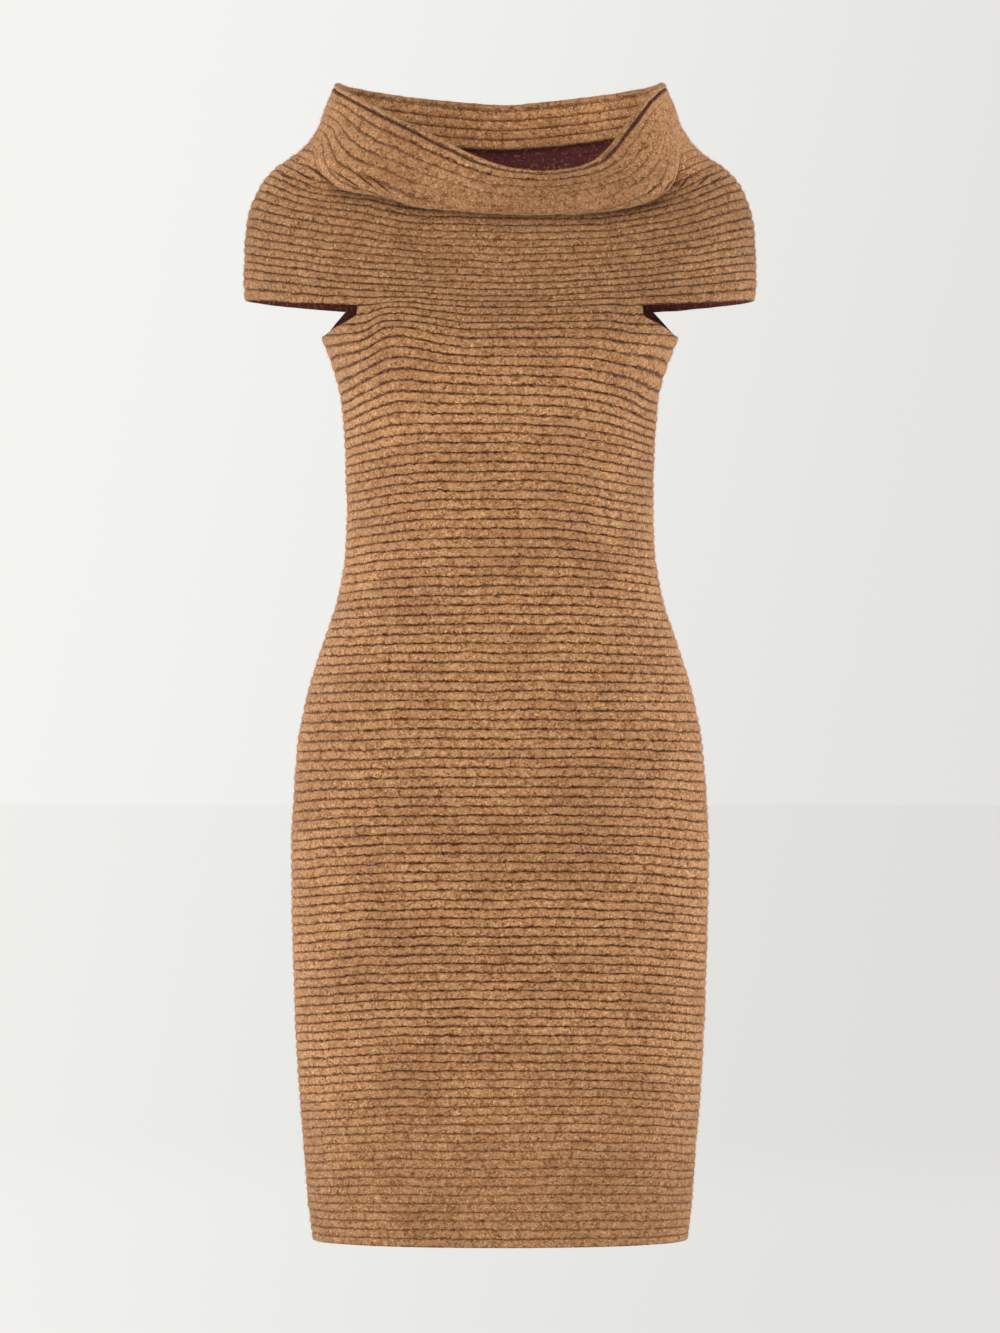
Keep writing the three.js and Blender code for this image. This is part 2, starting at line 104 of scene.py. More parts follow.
# %% Node helpers
class Nodes:
    """Short names for shader nodes in one tree. A value is a number, a colour, a place or an output."""

    def __init__(self, tree):
        self.tree = tree

    def give(self, socket, value):
        """Link an output to a socket, or set the socket's own value; a colour gets an alpha of 1."""
        if isinstance(value, bpy.types.NodeSocket):
            self.tree.links.new(value, socket)
        else:
            socket.default_value = (*value, 1) if socket.type == "RGBA" else value

    def add(self, kind, inputs=None, **settings):
        """New node with its settings, and values for its inputs by name or number."""
        node = self.tree.nodes.new(kind)
        for name, value in settings.items():
            setattr(node, name, value)
        for key, value in (inputs or {}).items():
            self.give(node.inputs[key], value)
        return node

    def attribute(self, name):
        """Number that the mesh keeps at each point."""
        return self.add("ShaderNodeAttribute", attribute_name=name).outputs["Fac"]

    def noise(self, where, size_mm, detail=2.0, roughness=0.5, distortion=0.0):
        """Noise whose grains are about size_mm across."""
        values = {"Vector": where, "Scale": 1000 / size_mm, "Detail": detail,
                  "Roughness": roughness, "Distortion": distortion}
        return self.add("ShaderNodeTexNoise", values).outputs["Fac"]

    def maths(self, operation, *values, clamp=False):
        """Result of a sum on numbers."""
        node = self.add("ShaderNodeMath", dict(enumerate(values)), operation=operation, use_clamp=clamp)
        return node.outputs[0]

    def vector(self, operation, *values, result=0):
        """Result of a sum on vectors."""
        node = self.add("ShaderNodeVectorMath", dict(enumerate(values)), operation=operation)
        return node.outputs[result]

    def scaled(self, vector, factor):
        """Vector or colour times a number."""
        return self.add("ShaderNodeVectorMath", {0: vector, "Scale": factor}, operation="SCALE").outputs[0]

    def remap(self, value, low, high, to_low=0.0, to_high=1.0):
        """Value spread smoothly from one range to another, and clamped."""
        values = {"Value": value, "From Min": low, "From Max": high, "To Min": to_low, "To Max": to_high}
        return self.add("ShaderNodeMapRange", values, interpolation_type="SMOOTHSTEP").outputs["Result"]

    def blend(self, factor, first, second, mode="MIX"):
        """Colour blend by a factor."""
        values = {0: factor, 6: first, 7: second}
        return self.add("ShaderNodeMix", values, data_type="RGBA", blend_type=mode).outputs[2]


def new_group(name, inputs, outputs):
    """Empty node group whose sockets are given by name and kind."""
    tree = bpy.data.node_groups.new(name, "ShaderNodeTree")
    for direction, sockets in (("INPUT", inputs), ("OUTPUT", outputs)):
        for label, kind in sockets.items():
            tree.interface.new_socket(name=label, in_out=direction, socket_type="NodeSocket" + kind)
    return Nodes(tree)


# %% [markdown]
# The floor is a pale sheet a little below the hem. It glows as brightly as the room behind it, less
# what its own dull surface gives back, so that its horizon is only a faint step and its shadow soft.

# %% Room and floor
ROOM_LIGHT = (0.91, 0.905, 0.872)       # left
ROOM_SHADE = (0.775, 0.77, 0.745)       # right
SHADE_WAY, SHADE_FROM, SHADE_TO = (1.0, 0.0, -0.25), -0.09, 0.085
FILL_COLOUR = (1.0, 0.985, 0.96)
FLOOR_HEIGHT, FLOOR_REACH = -1.08, 30.0
FLOOR_COLOUR = (0.06, 0.06, 0.06)

# The room's colour in a direction: it darkens evenly from left to right, and a little downwards
n = new_group("room_shade", {"Direction": "Vector"}, {"Colour": "Color"})
room_shade = n.tree
turned = n.vector("NORMALIZE", n.add("NodeGroupInput").outputs["Direction"])
slope = n.vector("DOT_PRODUCT", turned, SHADE_WAY, result="Value")
n.add("NodeGroupOutput", {"Colour": n.blend(n.remap(slope, SHADE_FROM, SHADE_TO), ROOM_LIGHT, ROOM_SHADE)})

world = bpy.data.worlds.new("white_studio")
world.use_nodes = True
n = Nodes(world.node_tree)
seen = world.node_tree.nodes["Background"]
shade = n.add("ShaderNodeGroup", node_tree=room_shade)
n.give(shade.inputs["Direction"], n.add("ShaderNodeTexCoord").outputs["Generated"])
n.give(seen.inputs["Color"], shade.outputs["Colour"])
fill = n.add("ShaderNodeBackground", {"Color": FILL_COLOUR, "Strength": ROOM_FILL})
to_camera = n.add("ShaderNodeLightPath").outputs["Is Camera Ray"]
choice = n.add("ShaderNodeMixShader", {"Fac": to_camera, 1: fill.outputs[0], 2: seen.outputs[0]})
n.give(world.node_tree.nodes["World Output"].inputs["Surface"], choice.outputs["Shader"])
bpy.context.scene.world = world

floor_mesh = bpy.data.meshes.new("floor")
corners = [(x * FLOOR_REACH, y * FLOOR_REACH, FLOOR_HEIGHT) for x, y in ((-1, -1), (1, -1), (1, 1), (-1, 1))]
floor_mesh.from_pydata(corners, [], [(0, 1, 2, 3)])
floor = bpy.data.objects.new("floor", floor_mesh)
bpy.context.scene.collection.objects.link(floor)

floor_paint = bpy.data.materials.new("pale_floor")
floor_paint.use_nodes = True
n = Nodes(floor_paint.node_tree)
floor_shader = floor_paint.node_tree.nodes["Principled BSDF"]
floor_shader.inputs["Base Color"].default_value = (*FLOOR_COLOUR, 1)
floor_shader.inputs["Roughness"].default_value = 1.0
floor_shader.inputs["Specular IOR Level"].default_value = 0.0
floor_shader.inputs["Emission Strength"].default_value = 1.0
away = n.vector("SUBTRACT", n.add("ShaderNodeTexCoord").outputs["Object"], tuple(camera.location))
shade = n.add("ShaderNodeGroup", node_tree=room_shade)
n.give(shade.inputs["Direction"], away)
n.give(floor_shader.inputs["Emission Color"],
       n.blend(1.0, shade.outputs["Colour"], FLOOR_COLOUR, "SUBTRACT"))
floor_mesh.materials.append(floor_paint)
print("floor at", FLOOR_HEIGHT)

# %% [markdown]
# ## The form of the dress
# A knitter counts courses: one course is one horizontal row, and here each course is one rib.
# So a place on the dress has two numbers, a course counted up from the hem, and an angle round the
# body: 0 is the front, 90 the viewer's right, 180 the back. Short tables give the sizes of the dress
# at a few courses or heights, in millimetres, and a smooth curve runs through each column.

# %% Reading a table
def look_up(table, key_name, value_name, keys):
    """Values of a column at keys, on cubic curves that pass through each row without extra humps.

    Each row's slope is the harmonic mean of the slopes beside it, or zero at a turn of the column.
    """
    xs = np.array([row[key_name] for row in table], float)
    ys = np.array([row[value_name] for row in table], float)
    keys = np.clip(np.asarray(keys, float), xs[0], xs[-1])
    slopes = np.diff(ys) / np.diff(xs)
    product = slopes[:-1] * slopes[1:]
    total = np.where(product > 0, slopes[:-1] + slopes[1:], 1.0)
    middle = np.where(product > 0, 2 * product / total, 0.0)
    tangents = np.concatenate([slopes[:1], middle, slopes[-1:]])
    low = np.clip(np.searchsorted(xs, keys, side="right") - 1, 0, len(xs) - 2)
    width = xs[low + 1] - xs[low]
    t = (keys - xs[low]) / width
    return (ys[low] * (1 + 2 * t) * (1 - t) ** 2 + width * tangents[low] * t * (1 - t) ** 2
            + ys[low + 1] * t * t * (3 - 2 * t) + width * tangents[low + 1] * t * t * (t - 1))


def table(columns, *rows):
    """Rows of a table as dictionaries that share the named columns."""
    names = columns.split()
    return [dict(zip(names, row)) for row in rows]


# %% Sizes of the body, the yoke and the sleeves
UNDERARM, SLEEVE_HEM, COLLAR_BASE, COLLAR_TOP = 99, 102, 119, 129
GROOVE_WALL, CREST_WALL = 2.4, 4.2

COURSE_HEIGHTS = table(
    "course height",
    (0, -859), (39, -564), (60, -396), (95, -113.5), (99, -83),
)

# side_drop: how far a course sinks from the centre to the side seam
BODY = table(
    "height half_width front back squareness side_drop",
    (-859, 161.5, 97, 94, 2.1, 0),
    (-826, 165.6, 99, 97, 2.1, 4),
    (-783, 169, 100, 100, 2.1, 8),
    (-697, 175, 103, 107, 2.1, 10),
    (-611, 178.5, 105, 114, 2.1, 10),
    (-525, 179.7, 106, 120, 2.1, 9),
    (-439, 175, 105, 113, 2.1, 5),
    (-396, 167.3, 102, 103, 2.05, 3),
    (-353, 154.8, 98, 93, 2.05, 4),
    (-310, 140.6, 94, 86, 2.05, 6),
    (-267, 133.7, 92, 82, 2.05, 8),
    (-224, 132.4, 94, 82, 2.1, 9),
    (-181, 133.3, 103, 86, 2.2, 9),
    (-138, 137.2, 115, 90, 2.35, 8),
    (-116, 141.9, 117, 92, 2.5, 5.5),
    (-95, 149.2, 116, 93, 2.65, 2),
    (-83, 153.8, 114, 93, 2.8, 0),
)
BODY_SIDE_POWER = 3

ARMHOLES = table(
    "course front_reach back_reach",
    (99, 153.8, 153.8),
    (100, 137.5, 149.5),
    (101, 122.8, 142),
    (102, 121.5, 135.5),
)

# side_power: how late a course leaves the centre's height for the side's
YOKE = table(
    "course front_height side_height back_height half_width front back squareness side_power",
    (99, -83, -83, -83, 153.8, 114, 93, 2.8, 3),
    (100, -77, -73, -75, 172, 113, 93, 2.5, 3),
    (101, -70.5, -62.5, -67, 197, 112.5, 93, 2.2, 2.5),
    (102, -64, -53, -62, 219.3, 112, 93, 2, 2.2),
    (104, -54.3, -34.3, -47, 220.8, 111, 93, 2, 2.1),
    (107, -37.4, -13.4, -28, 220.3, 109.5, 92.5, 2, 2),
    (110, -19.3, 9.2, -10, 218.8, 107, 92, 2, 2.1),
    (114, 5.6, 41, 15, 208.8, 101.5, 90.5, 2, 2.4),
    (117, 23.6, 57.6, 34, 195.5, 96.5, 88.5, 2, 3),
    (119, 31, 66, 46, 183.5, 93.5, 86.5, 2, 1.8),
)

# %% Sizes of the collar
FUNNEL = table(
    "share front_height side_height back_height half_width front back",
    (0, 31, 66, 46, 183.5, 93.5, 86.5),
    (0.15, 33, 72.5, 56, 174.5, 97, 84.5),
    (0.35, 36, 83, 70.5, 164.8, 101, 82),
    (0.6, 40, 99, 88.5, 155.5, 105, 79),
    (0.85, 45, 118, 106, 149.5, 108.5, 76.5),
    (1, 48, 129, 115.5, 144, 110.5, 75),
)
NECK_EDGE = table(
    "angle height",
    (-90, 129), (-75, 122), (-59, 111.5), (-35, 89), (-20, 72), (-7, 57), (3, 49.8), (14, 47),
    (26, 50), (36.5, 58), (43, 69), (52, 89.5), (64.5, 112.5), (76, 124), (90, 129),
)
BACK_EDGE_POWER = 1.3
OVERHANG = table(
    "angle height depth",
    (-90, 66, 0), (-84, 58, 0), (-77, 48, 0.07), (-70, 41, 0.2), (-62, 37, 0.4), (-53, 34.5, 0.68),
    (-44, 34, 0.9), (-35, 32, 1), (-29, 27, 1), (-22, 21, 1), (-13, 18, 1), (0, 14.5, 1), (18, 14, 1),
    (26, 16.5, 1), (33, 20, 1), (40, 24.5, 0.97), (47, 28.5, 0.85), (54, 32.5, 0.64), (61, 38, 0.38),
    (68, 45, 0.16), (75, 52, 0.04), (82, 60, 0), (90, 66, 0),
)
FOLD = table(
    "outward upward share",
    (0, 0, 0), (-0.5, 4, 0.06), (2, 8.5, 0.12), (8, 9, 0.18), (11.5, 4, 0.24), (13, -3, 0.31),
    (15.5, -8.5, 0.38), (20, -11.5, 0.44), (24.5, -8.5, 0.5), (26.5, -2, 0.56),
)
FOLD_LOW_POINT = 11.5 + CREST_WALL
UPPER_SHARE = 0.78
FRONT_BULGE = 1
PATH_STEPS = 12
print("tables of", len(BODY) + len(YOKE) + len(FUNNEL), "sections")


# %% [markdown]
# A section through the dress is a rounded oval. Its half width, its depth to the front or back and its
# squareness place a point at each angle: x is the half width times the sine and y the depth times the
# cosine, both to the power of 2 over the squareness. These sizes are the outside of the ribs, so the
# wall's thickness comes off to give the plain inner face.

# %% Sections
def on_section(angle, half_width, front, back, squareness, height):
    """Points of the inner face: the oval's sine and cosine parts, raised to 2 over the squareness."""
    across, along = np.sin(np.radians(angle)), np.cos(np.radians(angle))
    depth = np.where(along > 0, front, back)
    power = 2 / squareness
    x = (half_width - CREST_WALL) * np.sign(across) * np.abs(across) ** power
    y = -(depth - CREST_WALL) * np.sign(along) * np.abs(along) ** power
    return np.stack(np.broadcast_arrays(x, y, height), axis=-1)


def height_round(angle, centre, side, power):
    """Centre height, moved to the side height by the sine of the angle to a power."""
    return centre + (side - centre) * np.abs(np.sin(np.radians(angle))) ** power


def body_point(course, angle):
    """Inner face from hem to underarm: a section at the course's height, sinking towards the sides."""
    centre = look_up(COURSE_HEIGHTS, "course", "height", course)
    size = {name: look_up(BODY, "height", name, centre) for name in BODY[0]}
    side = centre - size["side_drop"]
    half_width = look_up(BODY, "height", "half_width", side)
    height = height_round(angle, centre, side, BODY_SIDE_POWER)
    return on_section(angle, half_width, size["front"], size["back"], size["squareness"], height)


def plain_base_height(angle):
    """Height of the yoke's last course, from its centre and side heights."""
    top = YOKE[-1]
    centre = np.where(np.cos(np.radians(angle)) > 0, top["front_height"], top["back_height"])
    return height_round(angle, centre, top["side_height"], top["side_power"])


def front_turn(angle):
    """The same angle between -180 and 180, so that the front's tables can be read."""
    return (np.asarray(angle, float) + 180) % 360 - 180


def base_height(angle):
    """Height of the collar's base: the yoke's, but always hidden above the overhang's lowest line."""
    near = front_turn(angle)
    depth = look_up(OVERHANG, "angle", "depth", near)
    hidden = look_up(OVERHANG, "angle", "height", near) + FOLD_LOW_POINT
    return plain_base_height(angle) * (1 - depth) + hidden * depth


def yoke_point(course, angle):
    """Inner face from underarm to collar: a section of the yoke, lifted towards the collar's base."""
    size = {name: look_up(YOKE, "course", name, course) for name in YOKE[0]}
    centre = np.where(np.cos(np.radians(angle)) > 0, size["front_height"], size["back_height"])
    plain = height_round(angle, centre, size["side_height"], size["side_power"])
    lift = np.clip((course - SLEEVE_HEM) / (COLLAR_BASE - SLEEVE_HEM), 0, 1) ** 2
    height = plain + lift * (base_height(angle) - plain_base_height(angle))
    return on_section(angle, size["half_width"], size["front"], size["back"], size["squareness"], height)


# %% [markdown]
# The collar is a wide funnel. At the back and over the shoulders it simply stands, narrowing a little.
# At the front it has slumped: the cloth goes up behind, turns over, hangs down in front as a thick
# fold, turns again and rises to the neck edge. For each angle a smooth curve runs through the points
# of that section, mixed with the plain funnel by how deep the fold is there, and the courses are
# spaced evenly along the curve, because slumping doesn't stretch the cloth.

# %% Collar
def funnel_point(share, angle):
    """Collar without its fold: a section whose height climbs from the base to the neck edge."""
    size = {name: look_up(FUNNEL, "share", name, share) for name in FUNNEL[0]}
    base, top = FUNNEL[0], FUNNEL[-1]
    at_front = np.cos(np.radians(angle)) > 0
    progress = {name: (size[name] - base[name]) / (top[name] - base[name])
                for name in ("front_height", "side_height", "back_height")}
    centre = np.where(at_front, progress["front_height"], progress["back_height"])
    side = np.sin(np.radians(angle)) ** 2
    rise = centre * (1 - side) + progress["side_height"] * side
    back_edge = height_round(angle, top["back_height"], top["side_height"], BACK_EDGE_POWER)
    edge = np.where(at_front, look_up(NECK_EDGE, "angle", "height", front_turn(angle)), back_edge)
    height = base_height(angle) * (1 - rise) + edge * rise
    return on_section(angle, size["half_width"], size["front"], size["back"], 2.0, height)


def smooth_path(points, steps):
    """Curve through points[angle, k]: a cubic per span whose slopes weigh the gaps between points."""
    first = 2 * points[:, :1] - points[:, 1:2]
    last = 2 * points[:, -1:] - points[:, -2:-1]
    p = np.concatenate([first, points, last], axis=1)
    gap = np.maximum(np.linalg.norm(np.diff(p, axis=1), axis=-1, keepdims=True) ** 0.5, 1e-2)
    p0, p1, p2, p3 = p[:, :-3], p[:, 1:-2], p[:, 2:-1], p[:, 3:]
    g0, g1, g2 = gap[:, :-2], gap[:, 1:-1], gap[:, 2:]
    m1 = ((p1 - p0) / g0 - (p2 - p0) / (g0 + g1) + (p2 - p1) / g1) * g1
    m2 = ((p2 - p1) / g1 - (p3 - p1) / (g1 + g2) + (p3 - p2) / g2) * g1
    t = np.linspace(0, 1, steps, endpoint=False)[:, None, None, None]
    curve = (p1 * (1 + 2 * t) * (1 - t) ** 2 + m1 * t * (1 - t) ** 2
             + p2 * t * t * (3 - 2 * t) + m2 * t * t * (t - 1))
    spans = np.moveaxis(curve, 0, 2).reshape(len(points), -1, 3)
    return np.concatenate([spans, points[:, -1:]], axis=1)


def collar_point(course, angle):
    """Inner face of the collar, with even courses along each angle's curve.

    course and angle are grids of the same shape, one row for each course and one column for each angle.
    """
    angles = angle[0]
    depth = np.where(np.cos(np.radians(angles)) > 0,
                     look_up(OVERHANG, "angle", "depth", front_turn(angles)), 0.0)[:, None]
    base, edge = funnel_point(0.0, angles), funnel_point(1.0, angles)
    outward = np.stack([np.sin(np.radians(angles)) * FUNNEL[0]["front"] / FUNNEL[0]["half_width"],
                        -np.cos(np.radians(angles)), np.zeros_like(angles)], axis=-1)
    outward /= np.linalg.norm(outward, axis=-1, keepdims=True)
    upward = np.array([0.0, 0.0, 1.0])

    def placed(row):
        return base + outward * row["outward"] + upward * row["upward"]

    points = [funnel_point(row["share"], angles) * (1 - depth) + placed(row) * depth for row in FOLD]
    bulged = (placed(FOLD[-1]) + edge) / 2 + outward * FRONT_BULGE
    points += [funnel_point(UPPER_SHARE, angles) * (1 - depth) + bulged * depth, edge]
    path = smooth_path(np.stack(points, axis=1), PATH_STEPS)
    length = np.concatenate([np.zeros((len(angles), 1)),
                             np.cumsum(np.linalg.norm(np.diff(path, axis=1), axis=-1), axis=1)], axis=1)
    share = np.clip((course - COLLAR_BASE) / (COLLAR_TOP - COLLAR_BASE), 0, 1)
    wanted = share * length[:, -1]
    low = (length[None] <= wanted[..., None]).sum(axis=-1) - 1
    low = np.clip(low, 0, path.shape[1] - 2)
    column = np.broadcast_to(np.arange(len(angles)), low.shape)
    start, end = length[column, low], length[column, low + 1]
    t = ((wanted - start) / (end - start))[..., None]
    return path[column, low] * (1 - t) + path[column, low + 1] * t


def undrifted_point(course, angle):
    """Inner face in millimetres, on grids of courses (rows) and angles (columns), with even ribs."""
    point = yoke_point(course, angle)
    in_body = (course <= UNDERARM)[..., None]
    in_collar = (course > COLLAR_BASE)[..., None]
    if in_body.any():
        point = np.where(in_body, body_point(course, angle), point)
    if in_collar.any():
        point = np.where(in_collar, collar_point(course, angle), point)
    return point


# %% [markdown]
# The yoke pulls the ribs of the chest up at the armholes and lets them sink at the sides. The form
# stays as it is, and only the ribs slide over it, by up to nearly two courses.

# %% Drift of the ribs
# across is the place from left to right in millimetres; drift is how many courses the ribs sit higher
RIB_DRIFT = table(
    "across course across_reach course_reach drift",
    (-84, 98, 34, 4.5, 1.35),
    (-84, 92, 34, 4, 0.45),
    (-135, 94, 30, 6, -0.7),
    (-135, 84, 40, 9, -0.2),
    (84, 99, 34, 4, 0.35),
    (100, 92, 42, 6, -0.4),
    (145, 94, 34, 6, -1.6),
    (110, 83, 45, 9, -0.55),
)
DRIFT_ENDS_ACROSS, DRIFT_ENDS_COURSE = (90, 122), (94.5, 99)


def dress_point(course, angle):
    """Inner face with the ribs pulled askew round the chest, but not along the armholes."""
    across = undrifted_point(course, angle)[..., 0]
    drift = np.zeros(course.shape)
    for row in RIB_DRIFT:
        away = ((across - row["across"]) / row["across_reach"]) ** 2
        away += ((course - row["course"]) / row["course_reach"]) ** 2
        drift += row["drift"] * np.exp(-away)
    start, end = DRIFT_ENDS_ACROSS
    outward = np.clip((np.abs(across) - start) / (end - start), 0, 1)
    start, end = DRIFT_ENDS_COURSE
    upward = np.clip((course - start) / (end - start), 0, 1)
    drift *= 1 - upward * outward ** 2 * (3 - 2 * outward)
    return undrifted_point(np.clip(course + drift, 0, COLLAR_TOP), angle)


# %% [markdown]
# ## Relief
# A pressed brushed knit has broad flat ribs with narrow grooves, none of them quite straight, and
# every few stitches make a soft lump. Noise worked out at each place in space gives that unevenness,
# and because it depends only on the place, it runs on from one piece into the next.

# %% Noise in space
LATTICE = 64
lattice_values = np.random.default_rng(11).random((LATTICE, LATTICE, LATTICE)) * 2 - 1


def noise(points, size, layer=0):
    """Smooth noise from -1 to 1: random values on a cubic lattice, blended between its corners.

    points are in millimetres, size is the distance between lattice corners, and layer shifts the lattice.
    """
    place = np.asarray(points) / size + 17.3 * layer + 500
    cell = np.floor(place).astype(int)
    t = place - cell
    t = t * t * (3 - 2 * t)
    x, y, z = (cell[..., k] % LATTICE for k in range(3))
    x1, y1, z1 = (x + 1) % LATTICE, (y + 1) % LATTICE, (z + 1) % LATTICE
    tx, ty, tz = t[..., 0], t[..., 1], t[..., 2]
    v = lattice_values
    low = ((v[x, y, z] * (1 - tx) + v[x1, y, z] * tx) * (1 - ty)
           + (v[x, y1, z] * (1 - tx) + v[x1, y1, z] * tx) * ty)
    high = ((v[x, y, z1] * (1 - tx) + v[x1, y, z1] * tx) * (1 - ty)
            + (v[x, y1, z1] * (1 - tx) + v[x1, y1, z1] * tx) * ty)
    return low * (1 - tz) + high * tz


# %% [markdown]
# The main creases are listed one by one. Each lies on a straight line across the cloth between two
# places, given by angle and course. A soft trough or ridge is highest along the middle of its line
# and dies away to its sides and its ends.

# %% Listed creases
# depth is in millimetres, below zero for a trough; width is the half width across the crease
CREASES = table(
    "angle_from course_from angle_to course_to width depth",
    (52, 117.2, 63, 124.5, 4.5, -2.6),
    (58, 116.2, 69, 121.5, 3.5, -1.6),
    (44, 120, 55, 126.5, 4, 1.4),
    (-66, 120, -50, 123.5, 6, 1.6),
    (-52, 118, -44, 121.5, 6, -2.2),
    (-150, 118, -128, 125, 6, -1.8),
    (140, 119, 158, 124.5, 5, -1.5),
    (60, 76, 84, 79.5, 8, -1.3),
    (-84, 71, -58, 74, 9, -1.2),
    (-88, 83, -64, 80, 7, -1.1),
    (64, 87, 88, 84.5, 8, -1.2),
    (62, 99, 50, 106, 7, -1.4),
    (-62, 99, -51, 105, 7, -1.3),
    (112, 74, 140, 78, 10, -1.6),
    (-142, 72, -110, 75, 11, -1.6),
    (150, 80, 205, 82, 10, -1.5),
    (160, 68, 200, 66, 12, -1.6),
    (120, 99, 132, 108, 8, -1.6),
    (-121, 99, -134, 107, 8, -1.6),
    (36, 8, 50, 40, 24, -1.6),
    (-46, 4, -34, 34, 22, -1.4),
    (-8, 2, 4, 26, 26, 1.2),
    (150, 5, 142, 38, 26, -1.8),
    (-152, 2, -160, 30, 26, -1.6),
)


def crease_height(points, course, angle):
    """Height of all creases at each place: depth times two bells, one across the line and one along it."""
    height = np.zeros(course.shape)
    for crease in CREASES:
        ends = []
        for end in ("from", "to"):
            c = np.full((1, 1), float(crease["course_" + end]))
            a = np.full((1, 1), float(crease["angle_" + end]))
            ends.append(dress_point(c, a)[0, 0])
        start, along = ends[0], ends[1] - ends[0]
        length = np.linalg.norm(along)
        offset = points - start
        t = offset @ along / length ** 2
        nearest = start + np.clip(t, 0, 1)[..., None] * along
        distance = np.linalg.norm(points - nearest, axis=-1)
        across = np.exp(-(distance / crease["width"]) ** 2)
        ends_bell = np.clip(1 - np.abs(np.clip(t, 0, 1) * 2 - 1) ** 4, 0.15, 1)
        height += crease["depth"] * across * ends_bell
    return height


# %% Cloth directions and thickness
COURSE_PROBE = 0.02
ANGLE_PROBE = 0.2


def unit(vectors):
    """Vectors divided by their length."""
    return vectors / np.maximum(np.linalg.norm(vectors, axis=-1, keepdims=True), 1e-9)


def cloth_frame(course, angle):
    """Inner point, outward and up directions: out is the way round crossed with up."""
    point = dress_point(course, angle)
    below = dress_point(np.maximum(course - COURSE_PROBE, 0), angle)
    above = dress_point(np.minimum(course + COURSE_PROBE, COLLAR_TOP), angle)
    up = unit(above - below)
    round_way = unit(dress_point(course, angle + ANGLE_PROBE) - dress_point(course, angle - ANGLE_PROBE))
    return point, unit(np.cross(round_way, up)), up


RIB_PROFILE = table(
    "part rise",
    (0, 0), (0.1, 0.6), (0.22, 0.88), (0.5, 1), (0.78, 0.88), (0.9, 0.6), (1, 0),
)
RIB_FADE = table("angle fade", (-40, 0), (-22, 0.5), (-8, 0.85), (22, 0.85), (34, 0.4), (50, 0))


def rib_rise(course):
    """How high the rib stands at a course, from 0 in the groove to 1 at the crest."""
    return look_up(RIB_PROFILE, "part", "rise", course - np.floor(course))


# where the ribs are drawn up tight (change above zero) or brushed flat (below zero)
RIB_CHANGES = table(
    "angle course angle_reach course_reach change",
    (-60, 121.5, 17, 3.5, -0.5),
    (62, 121.5, 15, 3.5, -0.45),
    (60, 126.2, 30, 3.4, -0.62),
    (-55, 127.0, 26, 2.4, -0.25),
    (-86, 125, 17, 5, -0.9),
    (85, 125, 20, 5, -0.9),
    (0, 111, 50, 8, -0.25),
    (-62, 95, 20, 5, 0.8),
    (62, 94, 20, 5, 0.7),
    (-95, 112, 14, 7, -0.15),
    (-90, 60, 12, 60, -0.5),
    (90, 60, 12, 60, -0.5),
    (0, 6, 130, 12, -0.38),
)


def boldness(course, angle):
    """How bold the ribs are: 1, changed round each place by a bell over angle and course."""
    near = front_turn(angle)
    total = np.ones(np.broadcast(course, angle).shape)
    for row in RIB_CHANGES:
        away = ((near - row["angle"]) / row["angle_reach"]) ** 2
        away += ((course - row["course"]) / row["course_reach"]) ** 2
        total += row["change"] * np.exp(-away)
    return total


def smoothing(course, angle):
    """How far brushing has hidden the grooves: only on the fold's round front, between its first ribs."""
    near = look_up(RIB_FADE, "angle", "fade", front_turn(angle))
    on_fold = np.clip(1 - np.abs(course - 125.2) / 2.6, 0, 1) ** 0.5
    return near * on_fold


# %% [markdown]
# The fold hangs over the yoke, so little light reaches the cloth just under its edge. Each place there
# gets a share of that shade, which the material turns into a darker tone.

# %% Outer face
TUCK_REACH = 5
# height in millimetres, size of the grains and the noise's layer, for lumps outwards and for the ribs' wander
LUMPS = ((0.28, 5.5, 0), (0.3, 13, 1), (0.55, 38, 2))
WANDER = ((0.8, 30, 3), (0.45, 12, 4))
CREST_UNEVENNESS, BOLD_RISE, LEVEL_HEM = 0.25, 1.3, 1.5


def tucked_under(course, angle, height):
    """Nearness of the yoke's cloth to the low edge of the fold, from 0 to 1; height is in millimetres."""
    turn = front_turn(angle)
    edge, depth = (look_up(OVERHANG, "angle", name, turn) for name in ("height", "depth"))
    near = np.clip(1 - (edge - height) / TUCK_REACH, 0, 1) * np.clip(depth * 4 - 3, 0, 1)
    return np.where((course < COLLAR_BASE) & (np.cos(np.radians(angle)) > 0), near, 0)


def outer_point(course, angle):
    """Outer face: the inner point moved out by the wall, its unevenness and its creases."""
    point, out, up = cloth_frame(course, angle)
    rise = rib_rise(course)
    rise = rise + (1 - rise) * 0.7 * smoothing(course, angle)
    lumps = sum(amount * noise(point, size, layer) for amount, size, layer in LUMPS)
    wander = sum(amount * noise(point, size, layer) for amount, size, layer in WANDER)
    uneven = 1 + CREST_UNEVENNESS * noise(point, 7, 5)
    thickness = GROOVE_WALL + (CREST_WALL - GROOVE_WALL) * rise * uneven
    edge = np.clip(course / LEVEL_HEM, 0, 1)
    drawn_up = (boldness(course, angle) - 1) * BOLD_RISE * (rise - 0.5)
    moved = thickness + lumps + drawn_up + crease_height(point, course, angle)
    return point + out * moved[..., None] + up * (wander * edge)[..., None]


# %% [markdown]
# ## Walls of knit
# Each piece is a closed wall: a fine grid of outer points, a coarser grid of plain inner points
# with the same columns, and narrow faces that join the two all round. The inner face may be coarser,
# because the wearer's side of the knit is flat and hardly shows.

